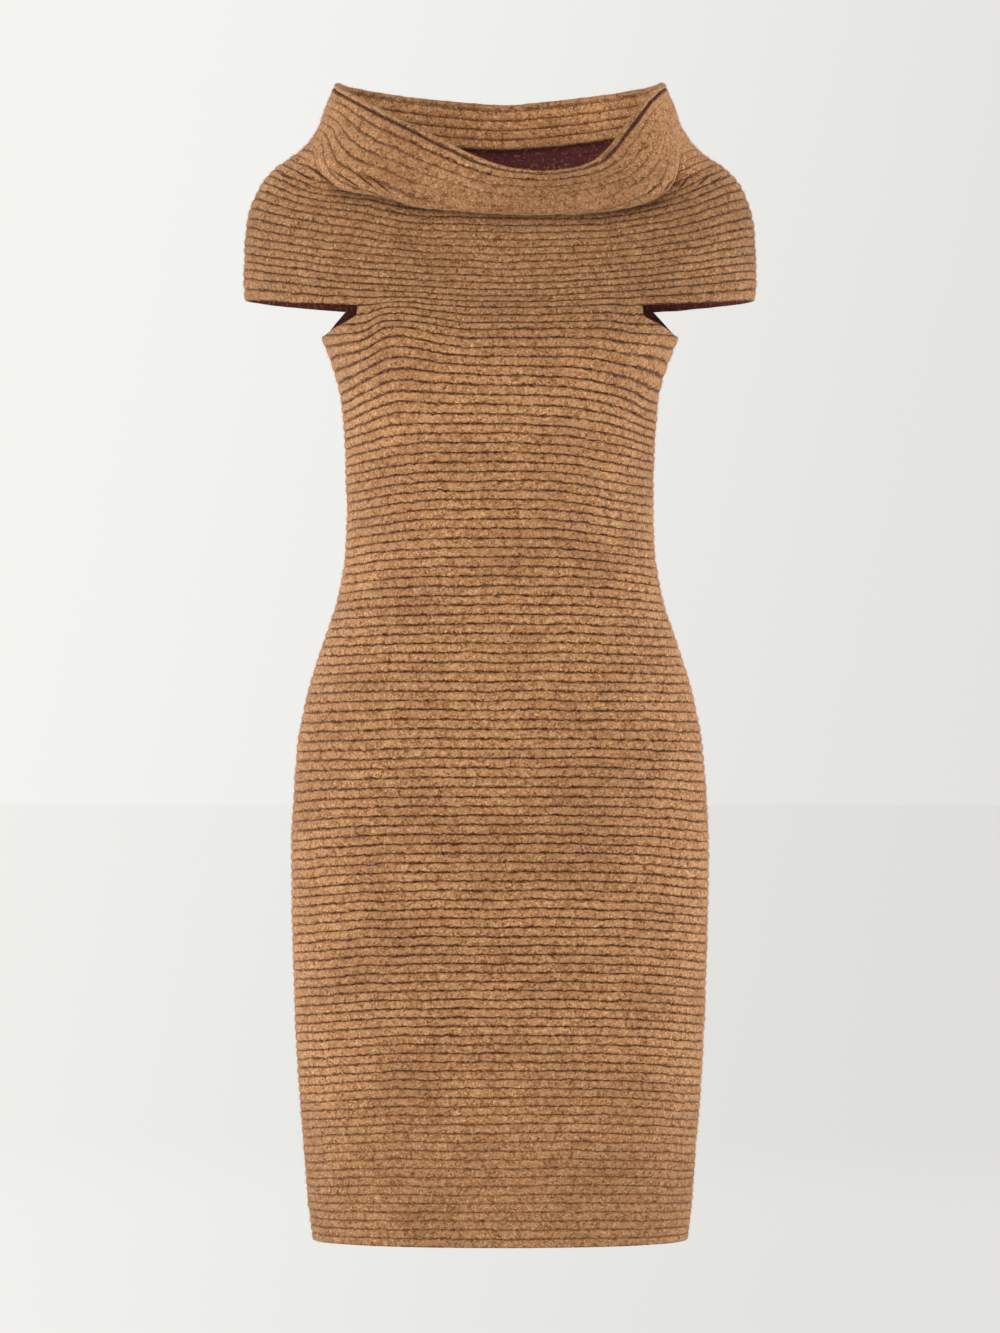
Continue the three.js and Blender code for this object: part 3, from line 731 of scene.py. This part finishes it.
# %% Faces of a closed wall
BODY_ROWS = [0, 0.1, 0.32, 0.68, 0.9]      # rows of points in each rib, as parts of its height
COLLAR_ROWS = [0, 0.08, 0.2, 0.35, 0.5, 0.65, 0.8, 0.92]
UV_RADIUS = 0.15                           # metres, for the map's length round the body
def grid_faces(rows, columns, first, outward):
    """Corners of a grid's squares, turning so that they face outwards or inwards."""
    r, c = np.meshgrid(np.arange(rows - 1), np.arange(columns - 1), indexing="ij")
    a = (first + r * columns + c).ravel()
    b, d = a + 1, a + columns
    order = [a, b, d + 1, d] if outward else [a, d, d + 1, b]
    return np.stack(order, axis=1)


def side_faces(outer_courses, inner_courses, columns, column, inner_first, flip):
    """Squares and triangles that join a column of outer points to the same column of inner points."""
    faces = []
    outer_of = np.searchsorted(outer_courses, inner_courses)
    for k in range(len(inner_courses) - 1):
        low, high = outer_of[k], outer_of[k + 1]
        inner_low = inner_first + k * columns + column
        inner_high = inner_low + columns
        ring = [inner_low, inner_high] + [j * columns + column for j in range(high, low - 1, -1)]
        faces.append(ring if flip else ring[::-1])
    return faces


def make_mesh(name, points, faces, smooth, rows_uv, layers):
    """Mesh object from points in millimetres, faces with their smoothness, a UV map and named layers."""
    mesh = bpy.data.meshes.new(name)
    mesh.from_pydata((points * MM).tolist(), [], faces)
    mesh.polygons.foreach_set("use_smooth", np.asarray(smooth, bool))
    corner_points = np.empty(len(mesh.loops), dtype=np.int32)
    mesh.loops.foreach_get("vertex_index", corner_points)
    uv = mesh.uv_layers.new(name="knit_rows")
    uv.data.foreach_set("uv", np.ascontiguousarray(rows_uv[corner_points], np.float32).ravel())
    for layer, values in layers.items():
        attribute = mesh.attributes.new(layer, "FLOAT", "POINT")
        attribute.data.foreach_set("value", np.ascontiguousarray(values, np.float32).ravel())
    mesh.validate(verbose=False)
    mesh.update()
    piece = bpy.data.objects.new(name, mesh)
    bpy.context.scene.collection.objects.link(piece)
    return piece


def course_rows(start, end, parts):
    """Courses of the rows of points from one groove to another."""
    rows = [course + part for course in range(start, end) for part in parts]
    return np.array(rows + [end], float)


def with_normals(surface, courses, angles):
    """Points of a surface on a grid and their outward directions, measured one column past the edges too.

    So the directions at a seam are the same on both pieces, and the light passes over it smoothly.
    """
    def widened(grid):
        before, after = 2 * grid[:, :1] - grid[:, 1:2], 2 * grid[:, -1:] - grid[:, -2:-1]
        return np.concatenate([before, grid, after], axis=1)

    points = surface(widened(courses), widened(angles))
    up, round_way = np.gradient(points, axis=0), np.gradient(points, axis=1)
    return points[:, 1:-1], unit(np.cross(round_way, up))[:, 1:-1]


def knit_wall(name, start, end, angles_at, parts):
    """Closed wall over whole courses, its columns at the angles that angles_at gives for each course."""
    def grids(courses):
        angles = np.stack([angles_at(course) for course in courses])
        return np.repeat(courses[:, None], angles.shape[1], axis=1), angles

    outer_courses = course_rows(start, end, parts)
    inner_courses = np.arange(start, end + 1, dtype=float)
    outer_grid, outer_angles = grids(outer_courses)
    inner_grid, inner_angles = grids(inner_courses)
    columns = outer_angles.shape[1]
    outer, outer_normals = with_normals(outer_point, outer_grid, outer_angles)
    inner, inner_normals = with_normals(dress_point, inner_grid, inner_angles)
    points = np.concatenate([outer.reshape(-1, 3), inner.reshape(-1, 3)])
    normals = np.concatenate([outer_normals.reshape(-1, 3), -inner_normals.reshape(-1, 3)])
    inner_first = outer_grid.size
    outside = grid_faces(len(outer_courses), columns, 0, True)
    inside = grid_faces(len(inner_courses), columns, inner_first, False)
    top_outer = (len(outer_courses) - 1) * columns
    top_inner = inner_first + (len(inner_courses) - 1) * columns
    c = np.arange(columns - 1)
    bottom = np.stack([c + 1, c, inner_first + c, inner_first + c + 1], axis=1)
    top = np.stack([top_outer + c, top_outer + c + 1, top_inner + c + 1, top_inner + c], axis=1)
    left = side_faces(outer_courses, inner_courses, columns, 0, inner_first, True)
    right = side_faces(outer_courses, inner_courses, columns, columns - 1, inner_first, False)
    faces = [*outside.tolist(), *inside.tolist(), *bottom.tolist(), *top.tolist(), *left, *right]
    smooth_faces = len(outside) + len(inside)
    smooth = [True] * smooth_faces + [False] * (len(faces) - smooth_faces)
    courses = np.concatenate([outer_grid.ravel(), inner_grid.ravel()])
    angles = np.concatenate([outer_angles.ravel(), inner_angles.ravel()])
    layers = {
        "inside": np.concatenate([np.zeros(outer_grid.size), np.ones(inner_grid.size)]),
        "brushed": smoothing(courses, angles),
        "bold": boldness(courses, angles),
        "tucked": tucked_under(courses, angles, points[:, 2]),
    }
    rows_uv = np.stack([angles * math.pi / 180 * UV_RADIUS, courses], axis=1)
    piece = make_mesh(name, points, faces, smooth, rows_uv, layers)
    piece.data.normals_split_custom_set_from_vertices(normals)
    print(name, "courses", start, "to", end, "columns", columns, "faces", len(faces))
    return piece, outer


# %% Angles of the columns
FRONT_COLUMNS, BACK_COLUMNS, SLEEVE_COLUMNS = 130, 110, 72
COLLAR_FRONT_COLUMNS, COLLAR_BACK_COLUMNS = 220, 150


def edge_angle(course, reach_name):
    """Angle of a panel's edge: 90 up to the underarm, then from how far the panel reaches."""
    level = min(max(course, UNDERARM), SLEEVE_HEM)
    reach = look_up(ARMHOLES, "course", reach_name, level) / look_up(YOKE, "course", "half_width", level)
    power = look_up(YOKE, "course", "squareness", level) / 2
    angle = math.degrees(math.asin(min(1.0, float(reach) ** float(power))))
    return 90.0 if course <= UNDERARM else angle


def even_arc(start, end, columns):
    """Angles whose points are evenly spaced round an oval twice as wide as it is deep."""
    fine = np.linspace(start, end, 400)
    x, y = 2 * np.sin(np.radians(fine)), np.cos(np.radians(fine))
    length = np.concatenate([[0], np.cumsum(np.hypot(np.diff(x), np.diff(y)))])
    return np.interp(np.linspace(0, length[-1], columns + 1), length, fine)


def front_angles(course):
    """Columns of the front panel, from seam to seam."""
    edge = edge_angle(course, "front_reach")
    return even_arc(-edge, edge, FRONT_COLUMNS)


def back_angles(course):
    """Columns of the back panel, from seam to seam."""
    edge = edge_angle(course, "back_reach")
    return even_arc(180 - edge, 180 + edge, BACK_COLUMNS)


def same_angles(start, end, columns):
    """The same columns for every course."""
    angles = even_arc(start, end, columns)
    return lambda course: angles


right_seams = edge_angle(SLEEVE_HEM, "front_reach"), 180 - edge_angle(SLEEVE_HEM, "back_reach")
sleeve_angles = even_arc(*right_seams, SLEEVE_COLUMNS)

# %% Front, back, sleeves and collar
front_panel, front_grid = knit_wall("front_knit", 0, COLLAR_BASE, front_angles, BODY_ROWS)
back_panel, back_grid = knit_wall("back_knit", 0, COLLAR_BASE, back_angles, BODY_ROWS)
sleeve_right, right_grid = knit_wall(
    "sleeve_right_knit", SLEEVE_HEM, COLLAR_BASE, lambda course: sleeve_angles, BODY_ROWS)
sleeve_left, left_grid = knit_wall(
    "sleeve_left_knit", SLEEVE_HEM, COLLAR_BASE, lambda course: -sleeve_angles[::-1], BODY_ROWS)
collar_front, collar_grid = knit_wall(
    "collar_front_knit", COLLAR_BASE, COLLAR_TOP, same_angles(-90, 90, COLLAR_FRONT_COLUMNS), COLLAR_ROWS)
collar_back, collar_back_grid = knit_wall(
    "collar_back_knit", COLLAR_BASE, COLLAR_TOP, same_angles(90, 270, COLLAR_BACK_COLUMNS), COLLAR_ROWS)

# %% [markdown]
# The collar is knitted twice as long and turned in. The turned-in layer starts inside, climbs to the
# top edge, rolls over it as one fat round rib, and hangs down inside with its own ribs showing.

# %% Turned-in layer
TURNED_IN_BACK, TURNED_IN_FRONT, TURNED_RIBS = 4.7, 3.2, 4
LAYER_GAP, EDGE_GAP = 1.5, 0.6
BEHIND_ROWS = 6
ROLL = table(
    "outward upward",
    (3.2, 0.8), (3.7, 2), (3.6, 3.4), (2.6, 4.6), (1.1, 5.4), (-0.6, 5.6), (-2.3, 5.2), (-3.6, 4.4),
    (-4.3, 3.4), (-4.5, 2.2),
)
RING_COLUMNS = 360


def turned_in_layer(name):
    """Closed ring whose section runs up behind, over the edge and down inside with ribs."""
    angles = even_arc(-90, 270, RING_COLUMNS)[:-1]
    depth = TURNED_IN_FRONT + (TURNED_IN_BACK - TURNED_IN_FRONT) * (1 - np.cos(np.radians(angles))) / 2
    rows, numbers = [], []
    for share in np.linspace(1, 0, BEHIND_ROWS):
        point, out, up = cloth_frame((COLLAR_TOP - depth * share)[None], angles[None])
        rows.append(point[0] - out[0] * LAYER_GAP + up[0] * (EDGE_GAP if share == 0 else 0))
        numbers.append(-1 - share)
    edge, out, up = (grid[0] for grid in
                     cloth_frame(np.full((1, len(angles)), float(COLLAR_TOP)), angles[None]))
    for k, row in enumerate(ROLL):
        swell = 0.35 * noise(edge, 6, 6) + 0.4 * noise(edge, 17, 7)
        direction = unit(out * row["outward"] + up * (row["upward"] - 2.5))
        rows.append(edge + out * row["outward"] + up * row["upward"] + direction * swell[:, None])
        numbers.append(-1 + (k + 1) / (len(ROLL) + 1))
    parts = [rib + part for rib in range(TURNED_RIBS) for part in COLLAR_ROWS] + [TURNED_RIBS]
    for rib in parts:
        point, out, _ = cloth_frame((COLLAR_TOP - depth * rib / TURNED_RIBS)[None], angles[None])
        point, out = point[0], out[0]
        wall = GROOVE_WALL + (CREST_WALL - GROOVE_WALL) * rib_rise(np.array([rib]))[0]
        rows.append(point - out * (LAYER_GAP + wall + 0.3 * noise(point, 6, 8))[:, None])
        numbers.append(rib)
    count = len(rows)
    points = np.stack(rows, axis=1).reshape(-1, 3)
    i, j = np.meshgrid(np.arange(len(angles)), np.arange(count), indexing="ij")
    here, after = i * count + j, (i + 1) % len(angles) * count + j
    here_up, after_up = i * count + (j + 1) % count, (i + 1) % len(angles) * count + (j + 1) % count
    faces = np.stack([here, after, after_up, here_up], axis=-1).reshape(-1, 4)
    uv = np.stack(np.broadcast_arrays(angles[:, None] * math.pi / 180 * UV_RADIUS,
                                      np.array(numbers)[None]), axis=-1).reshape(-1, 2)
    inside = np.broadcast_to(np.array([1.0 if n < -1 else 0.0 for n in numbers])[None],
                             (len(angles), count)).ravel()
    piece = make_mesh(name, points, faces.tolist(), [True] * len(faces), uv,
                      {"inside": inside, "brushed": np.zeros(len(points)), "bold": np.full(len(points), 0.6)})
    print(name, "points", len(points), "faces", len(faces))
    return piece, np.stack(rows, axis=0)[BEHIND_ROWS:]


turned_in, turned_grid = turned_in_layer("collar_turned_in_knit")

# %% [markdown]
# ## Yarn
# One material serves all outer faces. The groove's place comes from the course number, bent a little
# by noise so that it looks crinkled, and its width changes so that it breaks up where the fuzz covers it.

# %% Colours
def colour(red, green, blue):
    """Linear colour from a screen colour of 0 to 255."""
    values = np.array([red, green, blue]) / 255
    linear = np.where(values <= 0.04045, values / 12.92, ((values + 0.055) / 1.055) ** 2.4)
    return tuple(float(v) for v in linear)


CAMEL_LIGHT = colour(230, 181, 132)
CAMEL = colour(173, 121, 77)
CAMEL_DARK = colour(103, 61, 33)
GROOVE_BROWN = colour(74, 34, 6)
GROOVE_PLUM = colour(76, 22, 30)
PLUM = colour(108, 55, 56)
PLUM_LIGHT = colour(138, 84, 76)
# painted shade darkens the yoke under the fold and the hem, and painted light brightens the collar's top;
# heights in metres, then the tone
PAINTED_LIGHT_BY_HEIGHT = ((-0.11, -0.06, 0.8), (-0.72, -0.82, 0.88), (0.025, 0.065, 1.32))
# painted light: the turned-in layer is brightened inside the collar, where it is in shade
TURNED_IN_PAINTED_LIGHT = 1.45
TUCKED_TONE = 0.5
# gathers where the fold's ends are drawn down over the shoulders: lines of painted shade on the front, in
# millimetres
GATHER_WIDTH, GATHER_WANDER, GATHER_PAINTED_SHADE = 0.95, 2.6, 0.95
GATHERS = table(
    "x_from z_from x_to z_to",
    (-189.5, 55.1, -175.9, 48.3),
    (-175.9, 57.6, -158.9, 46.6),
    (-165.7, 61.9, -142.7, 44),
    (-142.7, 54.2, -119, 38.1),
    (-124.9, 52.5, -103.7, 35.5),
    (-114.7, 50.8, -93.5, 33.8),
    (122.4, 31.3, 134.3, 41.5),
    (138.5, 35.5, 147.8, 47.4),
    (152.1, 38.9, 163.1, 53.4),
    (168.2, 42.3, 181, 55.1),
    (180.1, 44, 189.5, 52.5),
)

# %% [markdown]
# A gather shows as one line of painted shade that thins towards its ends. Its mask comes from how far a place
# is from the line between two points, so one small group serves all the gathers.

# %% Node group for one gather
n = new_group("gather_line", {"Place": "Vector", "Start": "Vector", "End": "Vector"}, {"Mask": "Float"})
gather_line, entry = n.tree, n.add("NodeGroupInput").outputs
offset = n.vector("SUBTRACT", entry["Place"], entry["Start"])
whole = n.vector("SUBTRACT", entry["End"], entry["Start"])
share = n.maths("DIVIDE", n.vector("DOT_PRODUCT", offset, whole, result="Value"),
                n.vector("DOT_PRODUCT", whole, whole, result="Value"), clamp=True)
away = n.vector("DISTANCE", offset, n.scaled(whole, share), result="Value")
from_middle = n.maths("ABSOLUTE", n.maths("SUBTRACT", share, 0.5))
half_width = n.remap(from_middle, 0.15, 0.5, GATHER_WIDTH * MM, GATHER_WIDTH * MM * 0.25)
n.add("NodeGroupOutput", {"Mask": n.remap(n.maths("DIVIDE", away, half_width), 0.4, 1.5, 1.0, 0.0)})

# %% Node group for the brushed ribs
# size of the grains in millimetres, detail, roughness and distortion of each noise over the cloth
YARN_NOISES = {
    "crinkle": (3.8, 3.0, 0.7), "drift": (14, 1.0), "region": (60, 2.0), "width": (8, 2.0, 0.6),
    "strength": (5.0, 2.0, 0.6), "grain": (2.7, 3.0, 0.75), "speck": (1.9, 2.0, 0.65, 0.6),
    "tuft": (5.5, 2.0, 0.6), "inner_camel": (3.0, 2.0),
}
CRINKLE_BEND, DRIFT_BEND = 0.62, 0.25      # how far the noise bends a groove, in courses
RIM_LINE = (128.62, 128.86)                # courses over which the dark line under the rim begins

n = new_group("brushed_knit", {"Tone": "Float"}, {"Colour": "Color", "Height": "Float"})
brushed_knit = n.tree
where = n.add("ShaderNodeTexCoord").outputs["Object"]
rows = n.add("ShaderNodeUVMap", uv_map="knit_rows").outputs["UV"]
course = n.add("ShaderNodeSeparateXYZ", {0: rows}).outputs["Y"]
inside, brushed, bold, tucked = (n.attribute(name) for name in ("inside", "brushed", "bold", "tucked"))
yarn = {name: n.noise(where, *numbers) for name, numbers in YARN_NOISES.items()}

bent = n.maths("MULTIPLY_ADD", n.maths("SUBTRACT", yarn["crinkle"], 0.5), CRINKLE_BEND, course)
bent = n.maths("MULTIPLY_ADD", n.maths("SUBTRACT", yarn["drift"], 0.5), DRIFT_BEND, bent)
to_groove = n.maths("PINGPONG", bent, 0.5)
width = n.remap(yarn["width"], 0.3, 0.68, 0.05, 0.17)
shown = n.maths("MULTIPLY", n.maths("SUBTRACT", 1.0, brushed), bold, clamp=True)
width = n.maths("MULTIPLY", width, n.remap(bold, 0.3, 1.8, 0.6, 1.5))
groove = n.remap(to_groove, 0.035, n.maths("ADD", width, 0.045), 1.0, 0.0)
strength = n.remap(yarn["strength"], 0.3, 0.58, 0.5, 1.0)
groove = n.maths("MULTIPLY", n.maths("MULTIPLY", groove, strength), shown)
groove = n.maths("MAXIMUM", groove, n.remap(course, *RIM_LINE))

level = n.add("ShaderNodeSeparateXYZ", {0: where}).outputs
wander = n.maths("MULTIPLY", n.maths("SUBTRACT", yarn["crinkle"], 0.5), GATHER_WANDER * MM)
on_front = n.add("ShaderNodeCombineXYZ", {"X": level["X"], "Z": n.maths("ADD", level["Z"], wander)})
in_front = n.maths("LESS_THAN", level["Y"], 0.01)
# each gather adds a line of painted shade to the grooves' dark colour
for gather in GATHERS:
    start, end = ((gather["x_" + side] * MM, 0, gather["z_" + side] * MM) for side in ("from", "to"))
    line = n.add("ShaderNodeGroup", node_tree=gather_line)
    for name, value in (("Place", on_front.outputs[0]), ("Start", start), ("End", end)):
        n.give(line.inputs[name], value)
    shown_line = n.maths("MULTIPLY", line.outputs["Mask"], in_front)
    groove = n.maths("MAXIMUM", groove, n.maths("MULTIPLY", shown_line, GATHER_PAINTED_SHADE))

face = n.blend(n.remap(yarn["grain"], 0.34, 0.56), CAMEL_DARK, CAMEL)
face = n.blend(n.remap(yarn["speck"], 0.5, 0.68, 0.0, 0.85), face, CAMEL_LIGHT)
face = n.blend(n.remap(yarn["tuft"], 0.42, 0.62, 0.0, 0.3), face, CAMEL_LIGHT)
face = n.blend(n.remap(yarn["region"], 0.35, 0.7, 0.0, 0.25), face, CAMEL_DARK)
plum = n.maths("MULTIPLY", n.remap(yarn["region"], 0.52, 0.66, 0.0, 0.85), n.remap(course, 50, 85, 0.2, 1.0))
plum = n.maths("MAXIMUM", plum, n.remap(course, 128.6, 128.9))
outer_colour = n.blend(groove, face, n.blend(plum, GROOVE_BROWN, GROOVE_PLUM))
wrong_side = n.blend(n.remap(yarn["speck"], 0.5, 0.74), PLUM, PLUM_LIGHT)
wrong_side = n.blend(n.remap(yarn["inner_camel"], 0.56, 0.7, 0.0, 0.8), wrong_side, CAMEL)

# painted light and shade in the outer colour: tones by height, the turned-in layer brightened, shade under
# the fold
tone = 1.0
for low, high, amount in PAINTED_LIGHT_BY_HEIGHT:
    tone = n.maths("MULTIPLY", tone, n.remap(level["Z"], low, high, 1.0, amount))
# past its rim the turned-in layer gets its own tone: painted light on its shaded inside
past_rim = n.remap(course, -0.4, 0.5)
own_painted_light = n.maths("SUBTRACT", n.add("NodeGroupInput").outputs["Tone"], 1.0)
tone = n.maths("MULTIPLY", tone, n.maths("MULTIPLY_ADD", own_painted_light, past_rim, 1.0))
tone = n.maths("MULTIPLY", tone, n.remap(tucked, 0.0, 1.0, 1.0, TUCKED_TONE))
height = 1.0
for layer, amount in ((groove, -0.9), (yarn["grain"], 1.1), (yarn["speck"], 0.6), (yarn["tuft"], 1.4)):
    height = n.maths("MULTIPLY_ADD", layer, amount, height)
n.add("NodeGroupOutput", {"Colour": n.blend(inside, n.scaled(outer_colour, tone), wrong_side),
                          "Height": height})


# %% Materials
BUMP_STRENGTH, BUMP_DEPTH = 0.75, 0.0011


def knit_material(name, tone=1.0):
    """Rough yarn with the group's colour and bump, and a soft sheen from its fibres' ends."""
    material = bpy.data.materials.new(name)
    material.use_nodes = True
    nodes = Nodes(material.node_tree)
    shader = material.node_tree.nodes["Principled BSDF"]
    group = nodes.add("ShaderNodeGroup", {"Tone": tone}, node_tree=brushed_knit)
    bump = nodes.add("ShaderNodeBump", {"Strength": BUMP_STRENGTH, "Distance": BUMP_DEPTH,
                                        "Height": group.outputs["Height"]})
    nodes.give(shader.inputs["Normal"], bump.outputs["Normal"])
    nodes.give(shader.inputs["Base Color"], group.outputs["Colour"])
    shader.inputs["Roughness"].default_value = 0.95
    shader.inputs["Specular IOR Level"].default_value = 0.12
    shader.inputs["Sheen Weight"].default_value = 0.13
    shader.inputs["Sheen Roughness"].default_value = 0.55
    shader.inputs["Sheen Tint"].default_value = (1.0, 0.86, 0.72, 1)
    return material


knit_materials = {}
for piece, slot in ((front_panel, "rib_knit_front"), (back_panel, "rib_knit_back"),
                    (sleeve_left, "rib_knit_sleeves"), (sleeve_right, "rib_knit_sleeves"),
                    (collar_front, "rib_knit_collar"), (collar_back, "rib_knit_collar"),
                    (turned_in, "rib_knit_turned_in")):
    if slot not in knit_materials:
        # the turned-in layer's material is brightened: painted light on the collar's shaded inside
        knit_materials[slot] = knit_material(slot, TURNED_IN_PAINTED_LIGHT if piece is turned_in else 1.0)
    piece.data.materials.append(knit_materials[slot])

# %% [markdown]
# ## Fuzz
# Brushing lifts the ends of the fibres out of the yarn. Each is a thin blade that starts in the cloth
# and leans a random way, so the outline turns soft and the grooves are half covered.

# %% Fibres
FIBRE_LENGTH, FIBRE_WIDTH = (1.2, 3.2), 0.17      # millimetres
FIBRE_DEPTH = 0.35                                # how far its root is inside the cloth

fuzz_material = bpy.data.materials.new("camel_fuzz")
fuzz_material.use_nodes = True
n = Nodes(fuzz_material.node_tree)
fuzz_shader = fuzz_material.node_tree.nodes["Principled BSDF"]
n.give(fuzz_shader.inputs["Base Color"],
       n.blend(n.attribute("tint"), colour(139, 90, 54), colour(216, 166, 117)))
fuzz_shader.inputs["Roughness"].default_value = 1.0
fuzz_shader.inputs["Specular IOR Level"].default_value = 0.0


def fuzz(name, outer, count, seed, painted_light_lift=0.0):
    """Thin blades scattered evenly over a grid of outer points, three corners each."""
    random = np.random.default_rng(seed)
    a, b = outer[:-1, :-1], outer[:-1, 1:]
    c, d = outer[1:, :-1], outer[1:, 1:]
    normal = np.cross(b - a, c - a)
    area = np.linalg.norm(normal, axis=-1).ravel()
    cell = random.choice(area.size, count, p=area / area.sum())
    u, v = random.random((2, count, 1))
    a, b, c, d = (corner.reshape(-1, 3)[cell] for corner in (a, b, c, d))
    root = (a * (1 - u) + b * u) * (1 - v) + (c * (1 - u) + d * u) * v
    out = unit(normal.reshape(-1, 3)[cell])
    wild = unit(random.normal(size=(count, 3)))
    lean = unit(out * (0.25 + 0.75 * random.random((count, 1)) ** 1.5) + wild * 0.95)
    inward = (lean * out).sum(axis=-1, keepdims=True)
    lean = unit(lean - out * np.minimum(inward, 0) * 2 + out * 0.1)
    side = unit(np.cross(lean, wild + 0.01))
    reach = random.uniform(*FIBRE_LENGTH, (count, 1))
    half = FIBRE_WIDTH * random.uniform(0.6, 1.3, (count, 1)) / 2
    root = root - out * FIBRE_DEPTH
    points = np.stack([root - side * half, root + side * half, root + lean * reach], axis=1).reshape(-1, 3)
    mesh = bpy.data.meshes.new(name)
    mesh.vertices.add(count * 3)
    mesh.vertices.foreach_set("co", (points * MM).astype(np.float32).ravel())
    mesh.loops.add(count * 3)
    mesh.loops.foreach_set("vertex_index", np.arange(count * 3, dtype=np.int32))
    mesh.polygons.add(count)
    mesh.polygons.foreach_set("loop_start", np.arange(0, count * 3, 3, dtype=np.int32))
    tints = painted_light_lift + (1 - painted_light_lift) * random.random(count)
    tint = mesh.attributes.new("tint", "FLOAT", "POINT")
    tint.data.foreach_set("value", np.repeat(tints, 3).astype(np.float32))
    mesh.update(calc_edges=True)
    piece = bpy.data.objects.new(name, mesh)
    bpy.context.scene.collection.objects.link(piece)
    piece.data.materials.append(fuzz_material)
    print(name, "fibres", count)
    return piece


hairs = {}
for name, grid, count, seed, slot in (
        ("front_fuzz", front_grid, 150000, 21, "rib_knit_front"),
        ("back_fuzz", back_grid, 110000, 22, "rib_knit_back"),
        ("sleeve_right_fuzz", right_grid, 22000, 23, "rib_knit_sleeves"),
        ("sleeve_left_fuzz", left_grid, 22000, 24, "rib_knit_sleeves"),
        ("collar_front_fuzz", collar_grid, 42000, 25, "rib_knit_collar"),
        ("collar_back_fuzz", collar_back_grid, 22000, 26, "rib_knit_collar"),
        ("collar_turned_in_fuzz", turned_grid, 22000, 27, "rib_knit_turned_in")):
    # the turned-in layer's fibres are made paler: painted light on the collar's shaded inside
    painted_light_lift = 0.75 if slot == "rib_knit_turned_in" else 0.0
    hairs[name] = fuzz(name, grid, count, seed, painted_light_lift), slot

# %% [markdown]
# ## What each piece is
# The knit is stretched round the figure. The real pattern isn't known, so each flat size is an estimate.
# The panels' sizes come from the model's girths and lengths. The sleeves' are about a quarter too small
# and the back collar's about a fifth too large, as the printed lines show.

# %% Attaching the pieces and measuring their cloth
SHEETS = [
    (front_panel, "front_panel", "front_fuzz", (0.47, 0.96), 0.38, "stretched",
     ["sleeve_left", "sleeve_right"]),
    (back_panel, "back_panel", "back_fuzz", (0.47, 0.98), 0.39, "stretched",
     ["sleeve_left", "sleeve_right"]),
    (sleeve_left, "sleeve_left", "sleeve_left_fuzz", (0.24, 0.15), 0.026, "stretched", ["back_panel"]),
    (sleeve_right, "sleeve_right", "sleeve_right_fuzz", (0.24, 0.15), 0.026, "stretched", ["back_panel"]),
    (collar_front, "collar_front", "collar_front_fuzz", (0.46, 0.1), None, "draped", ["front_panel"]),
    (collar_back, "collar_back", "collar_back_fuzz", (0.42, 0.09), None, "hung", ["back_panel"]),
    (turned_in, "collar_turned_in", "collar_turned_in_fuzz", (0.74, 0.048), None, "folded", ["collar_back"]),
]
for piece, node, hair_name, flat, area, held, rests_on in SHEETS:
    hair, slot = hairs[hair_name]
    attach(piece, "root")
    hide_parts(node)
    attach(hair, "root")
    cloth = sum(face.area for face in piece.data.polygons) / 2
    print(node, "cloth", round(cloth, 4), "m2, cut", round(area or flat[0] * flat[1], 4), "m2")
